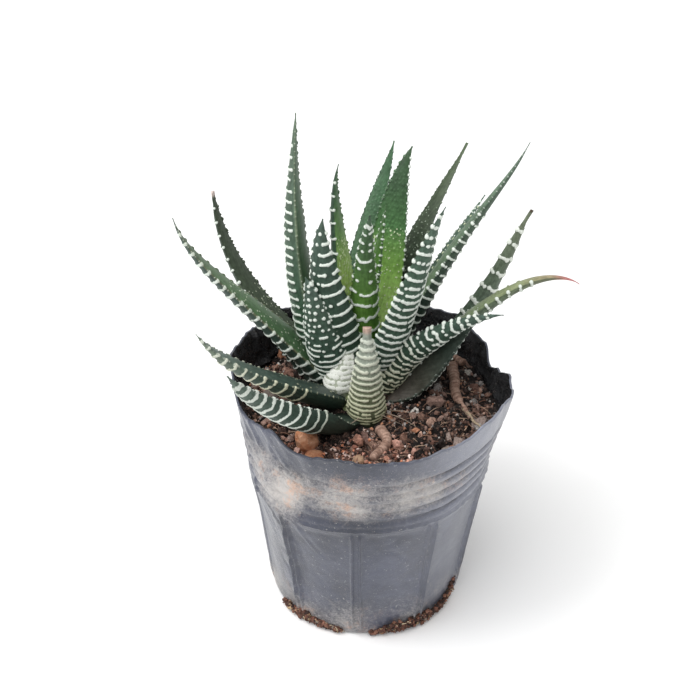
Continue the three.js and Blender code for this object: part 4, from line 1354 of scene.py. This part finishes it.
def add_soil_fibres(material):
    """Threads of coir on the mix, within the pot's wall."""
    rng = np.random.default_rng(71)
    lengths = rng.uniform(1.2, 5, FIBRE_COUNT)
    centres, lengths = scatter_on_soil(FIBRE_COUNT, rng, leaf_room(), lengths, 0)
    centres[:, 2] += 0.3
    wall = wall_radius(np.degrees(np.arctan2(centres[:, 1], centres[:, 0])), SOIL_LEVEL)
    within = np.hypot(centres[:, 0], centres[:, 1]) + lengths < wall - FILM - 1.5
    centres, lengths = centres[within], lengths[within]
    many = len(centres)
    add_fibres("soil_fibres", centres, rng.uniform(0, 2 * math.pi, many), lengths,
               rng.uniform(0, 0.2, many), palette(FIBRE_TONES)[rng.integers(0, 4, many)], material, 72)


# ------------------------------------------------------------------ roots, pebbles and spilt mix
# A root: its name, points in plan, diameter and the share of its length where its thick part ends.
ROOTS = [
    ("root_right", [(29.3, 21), (29.6, 12), (29.2, 5), (32.3, -6)], 4, 0.72),
    ("root_back", [(26.5, 29.5), (30, 26), (33.7, 22)], 3.6, 0.95),
    ("root_front", [(4.2, -15), (6, -21.5), (1.5, -29)], 3.6, 0.95),
]
ROOT_ROWS = 120
ROOT_SIDES = 28
TAIL_ROWS = 40
TAIL_SIDES = 12

# The thin end of the right root: places in plan and height over the mix.
TAIL = [(31.6, -3.5, 1.6), (33, -8, 2.2), (33.8, -12, 2.5), (36.2, -15.5, 2.2)]

# Fine roots at the offset's foot: where each starts in plan, its heading in degrees and its length.
HAIRS = [((3.5, -8.5), -70, 9), ((4.5, -7.5), -50, 12), ((5.5, -6.5), -25, 11), ((-2, -10), -95, 8)]
HAIR_LIFT = 2.2
HAIR_CLIMB = 0.12       # height of its arch, of its length

# A pebble: its name, place in plan, size, seed, colours and how its form is stretched.
PEBBLES = [
    ("pebble_orange", (-18.6, -21.6), 9, 3, ("#c07f5a", "#dba684", "#f3dcc8"), (0.82, 0.86, 1)),
    ("pebble_beside", (-16, -28), 5.6, 5, ("#b97350", "#d39a76", "#ecc8ac"), (1.05, 1, 0.8)),
    ("pebble_left", (-31, 3), 5, 8, ("#6d625a", "#857970", "#a79b90"), (1.05, 1, 0.85)),
    ("pebble_front", (-2.5, -29.5), 3.8, 13, ("#9c7a60", "#b7967a", "#cdb59c"), (1.05, 1, 0.85)),
    ("pebble_right", (24.5, -27), 3.8, 21, ("#7d7068", "#978a80", "#b3a89c"), (1.05, 1, 0.85)),
]

# Spilt mix: its name, first and last azimuth, height, depth, how high its end climbs, and seed.
SPILLS = [("spill_left", 212, 256, 4.2, 2.2, 0, 4), ("spill_right", 272, 336, 5.2, 2.6, 11, 9)]
SPILL_COUNT = 520
SPILL_FIBRES = 70
CLIMB_FROM = 0.78       # share of the arc where its end starts to climb


def smooth_path(points, count):
    """A curve through points, by Catmull-Rom."""
    points = np.asarray(points, float)
    full = np.concatenate([[2 * points[0] - points[1]], points, [2 * points[-1] - points[-2]]])
    at = np.linspace(0, len(points) - 1 - 1e-6, count)
    i = at.astype(int)
    u = (at - i)[:, None]
    a, b, c, d = full[i], full[i + 1], full[i + 2], full[i + 3]
    return 0.5 * (2 * b + (c - a) * u + (2 * a - 5 * b + 4 * c - d) * u ** 2
                  + (3 * b - a - 3 * c + d) * u ** 3)


def add_root(name, plan, diameter, thick_to, index, material):
    """A thick root that lies on the mix."""
    radius = diameter / 2
    points = np.array([(x, y, soil_height(x, y) + radius * 0.55) for x, y in plan])
    path = smooth_path(points, ROOT_ROWS)
    path += 0.35 * np.stack([noise(path, 5, 80 + k + index) for k in range(3)], -1)
    share = np.linspace(0, 1, ROOT_ROWS)
    steps = np.linalg.norm(np.diff(path, axis=0), axis=1)
    distance = np.concatenate([[0], np.cumsum(steps)])
    thin = (1 - 0.25 * share) * (1 - 0.6 * smooth((share - thick_to) / 0.16))
    knots = 0.98 + 0.09 * noise(on_line(distance), 2.2, 90 + index, 3)
    rings = tube(path, radius * thin * knots, ROOT_SIDES)
    rings += (rings - path[:, None]) * (0.16 * noise(rings, 1.6, 95 + index, 2))[:, :, None]
    full, faces = capped_tube(rings)
    ends = np.concatenate([distance[:1], distance, distance[-1:]])
    along = np.broadcast_to(ends[:, None], full.shape[:2])
    across = np.broadcast_to(np.abs(np.linspace(-1, 1, ROOT_SIDES))[None], full.shape[:2])
    add_mesh(name + "_cork", full, faces, [material], values={"along": along, "across": across},
             slot="root", replaces=[name])


def add_rootlets(material):
    """The thin dry end of the right root and a few pale hairs at the offset's foot."""
    tail = np.array([(x, y, soil_height(x, y) + lift) for x, y, lift in TAIL])
    share = np.linspace(0, 1, TAIL_ROWS)
    radii = 0.75 - 0.5 * share + 0.06 * np.sin(share * 40)
    full, faces = capped_tube(tube(smooth_path(tail, TAIL_ROWS), radii, TAIL_SIDES))
    tone = np.broadcast_to(linear("#a8967e"), full.shape)
    add_mesh("root_right_tail", full, faces, [material], colours={"tone": tone}, slot="root")
    places, headings, lengths = zip(*HAIRS)
    starts = np.array([(x, y, soil_height(x, y) + HAIR_LIFT) for x, y in places])
    add_fibres("offset_root_hairs", starts, np.radians(headings), lengths, [HAIR_CLIMB] * len(HAIRS),
               palette(["#9a8a7a"] * len(HAIRS)), material, 74)


def add_pebble(name, plan, size, seed, codes, form):
    """A stone half sunk in the mix."""
    x, y = plan
    shape, faces = ball(5)
    lumps = 1 + 0.2 * noise(shape, 0.9, seed) + 0.1 * noise(shape, 0.35, seed + 1, 2)
    chips = -0.12 * np.clip(noise(shape, 0.5, seed + 2), 0, 1)
    grit = 0.05 * noise(shape, 0.14, seed + 3, 2)
    points = shape * (lumps + chips + grit)[:, None] * size / 2 * np.array(form)
    points += np.array([x, y, soil_height(x, y) + 0.22 * size])
    add_mesh(name + "_stone", points, faces, [earth_material(name + "_stone", codes, 0.8)], slot="stone",
             replaces=[name])


def add_spill(name, start, end, height, depth, climb, seed, material):
    """Crumbs and threads of the mix that cling to the foot of the pot."""
    rng = np.random.default_rng(seed)
    share = rng.random(SPILL_COUNT)
    azimuth = lerp(start, end, share)
    swell = np.sin(math.pi * (0.08 + 0.84 * share)) * (0.8 + 0.4 * noise(on_line(azimuth), 6, seed))
    sizes = 0.6 + 1.6 * rng.random(SPILL_COUNT) ** 2
    z = 0.6 + sizes * 0.4 + height * swell * rng.random(SPILL_COUNT)
    if climb:
        late = np.clip((share - CLIMB_FROM) / (1 - CLIMB_FROM), 0, 1)
        z = z + climb * late * rng.random(SPILL_COUNT) ** 0.7
    reach = 0.5 * depth * swell * rng.random(SPILL_COUNT)
    centres = polar(wall_radius(azimuth, z) + 0.2 + np.clip(reach, 0, None), azimuth, z)
    tones = crumb_tones(SPILL_COUNT, rng, SPILL_TONES)
    crumb_cloud(name + "_crumbs", centres, sizes, tones, 1, material, seed, replaces=[name])
    many = SPILL_FIBRES
    pick = rng.choice(SPILL_COUNT, many, replace=False)
    headings = np.radians(azimuth[pick] + 90) + rng.uniform(-0.5, 0.5, many)
    add_fibres(name + "_fibres", centres[pick] + np.array([0, 0, 0.4]), headings,
               rng.uniform(0.8, 2.2, many), rng.uniform(0, 0.1, many),
               palette(SPILL_FIBRE_TONES)[rng.integers(0, 4, many)], material, seed + 1)


# ------------------------------------------------------------------ crowns
CROWN_ROWS = 60
CROWN_SIDES = 48

# A crown: its name, place in plan, and radius and height up its profile.
CROWNS = [
    ("crown", CROWN, [(6, 64), (6.2, 75), (4.6, 83), (2.6, 89), (1.2, 93)]),
    ("offset_crown", (-4, -2.5), [(3.6, 67), (3.8, 76), (2, 80)]),
]


def add_crown(name, centre, profile, material):
    """A short stem with the rings of old leaf bases."""
    radii, heights = np.array(profile, float).T
    z = np.linspace(heights[0], heights[-1], CROWN_ROWS)
    radius = np.interp(z, heights, radii) + 0.15 * np.sin(z * 2.6)
    rings = polar(radius[:, None], np.arange(CROWN_SIDES) * 360 / CROWN_SIDES, z[:, None])
    full, faces = capped_tube(rings + np.array([*centre, 0]))
    add_mesh(name + "_stem", full, faces, [material], slot="crown", replaces=[name])


# ------------------------------------------------------------------ assembly
def build():
    add_camera()
    leaf_skin = leaf_material()
    crumbs = crumb_material()
    cork = root_material()
    lining = lining_material()
    for index, leaf in enumerate(LEAVES):
        add_leaf(leaf, index, leaf_skin)
    add_pot(film_material(), lining)
    add_pot_floor(lining)
    add_soil(soil_material())
    add_crumbs(crumbs)
    add_soil_fibres(crumbs)
    for index, root in enumerate(ROOTS):
        add_root(*root, index, cork)
    add_rootlets(crumbs)
    for pebble in PEBBLES:
        add_pebble(*pebble)
    for spill in SPILLS:
        add_spill(*spill, crumbs)
    stem = earth_material("stem", ("#8d9a6c", "#9aa878", "#b4ba94"), 0.3)
    for crown in CROWNS:
        add_crown(*crown, stem)
    add_floor()
    for light in LIGHTS:
        add_light(*light)
    add_sky()


build()
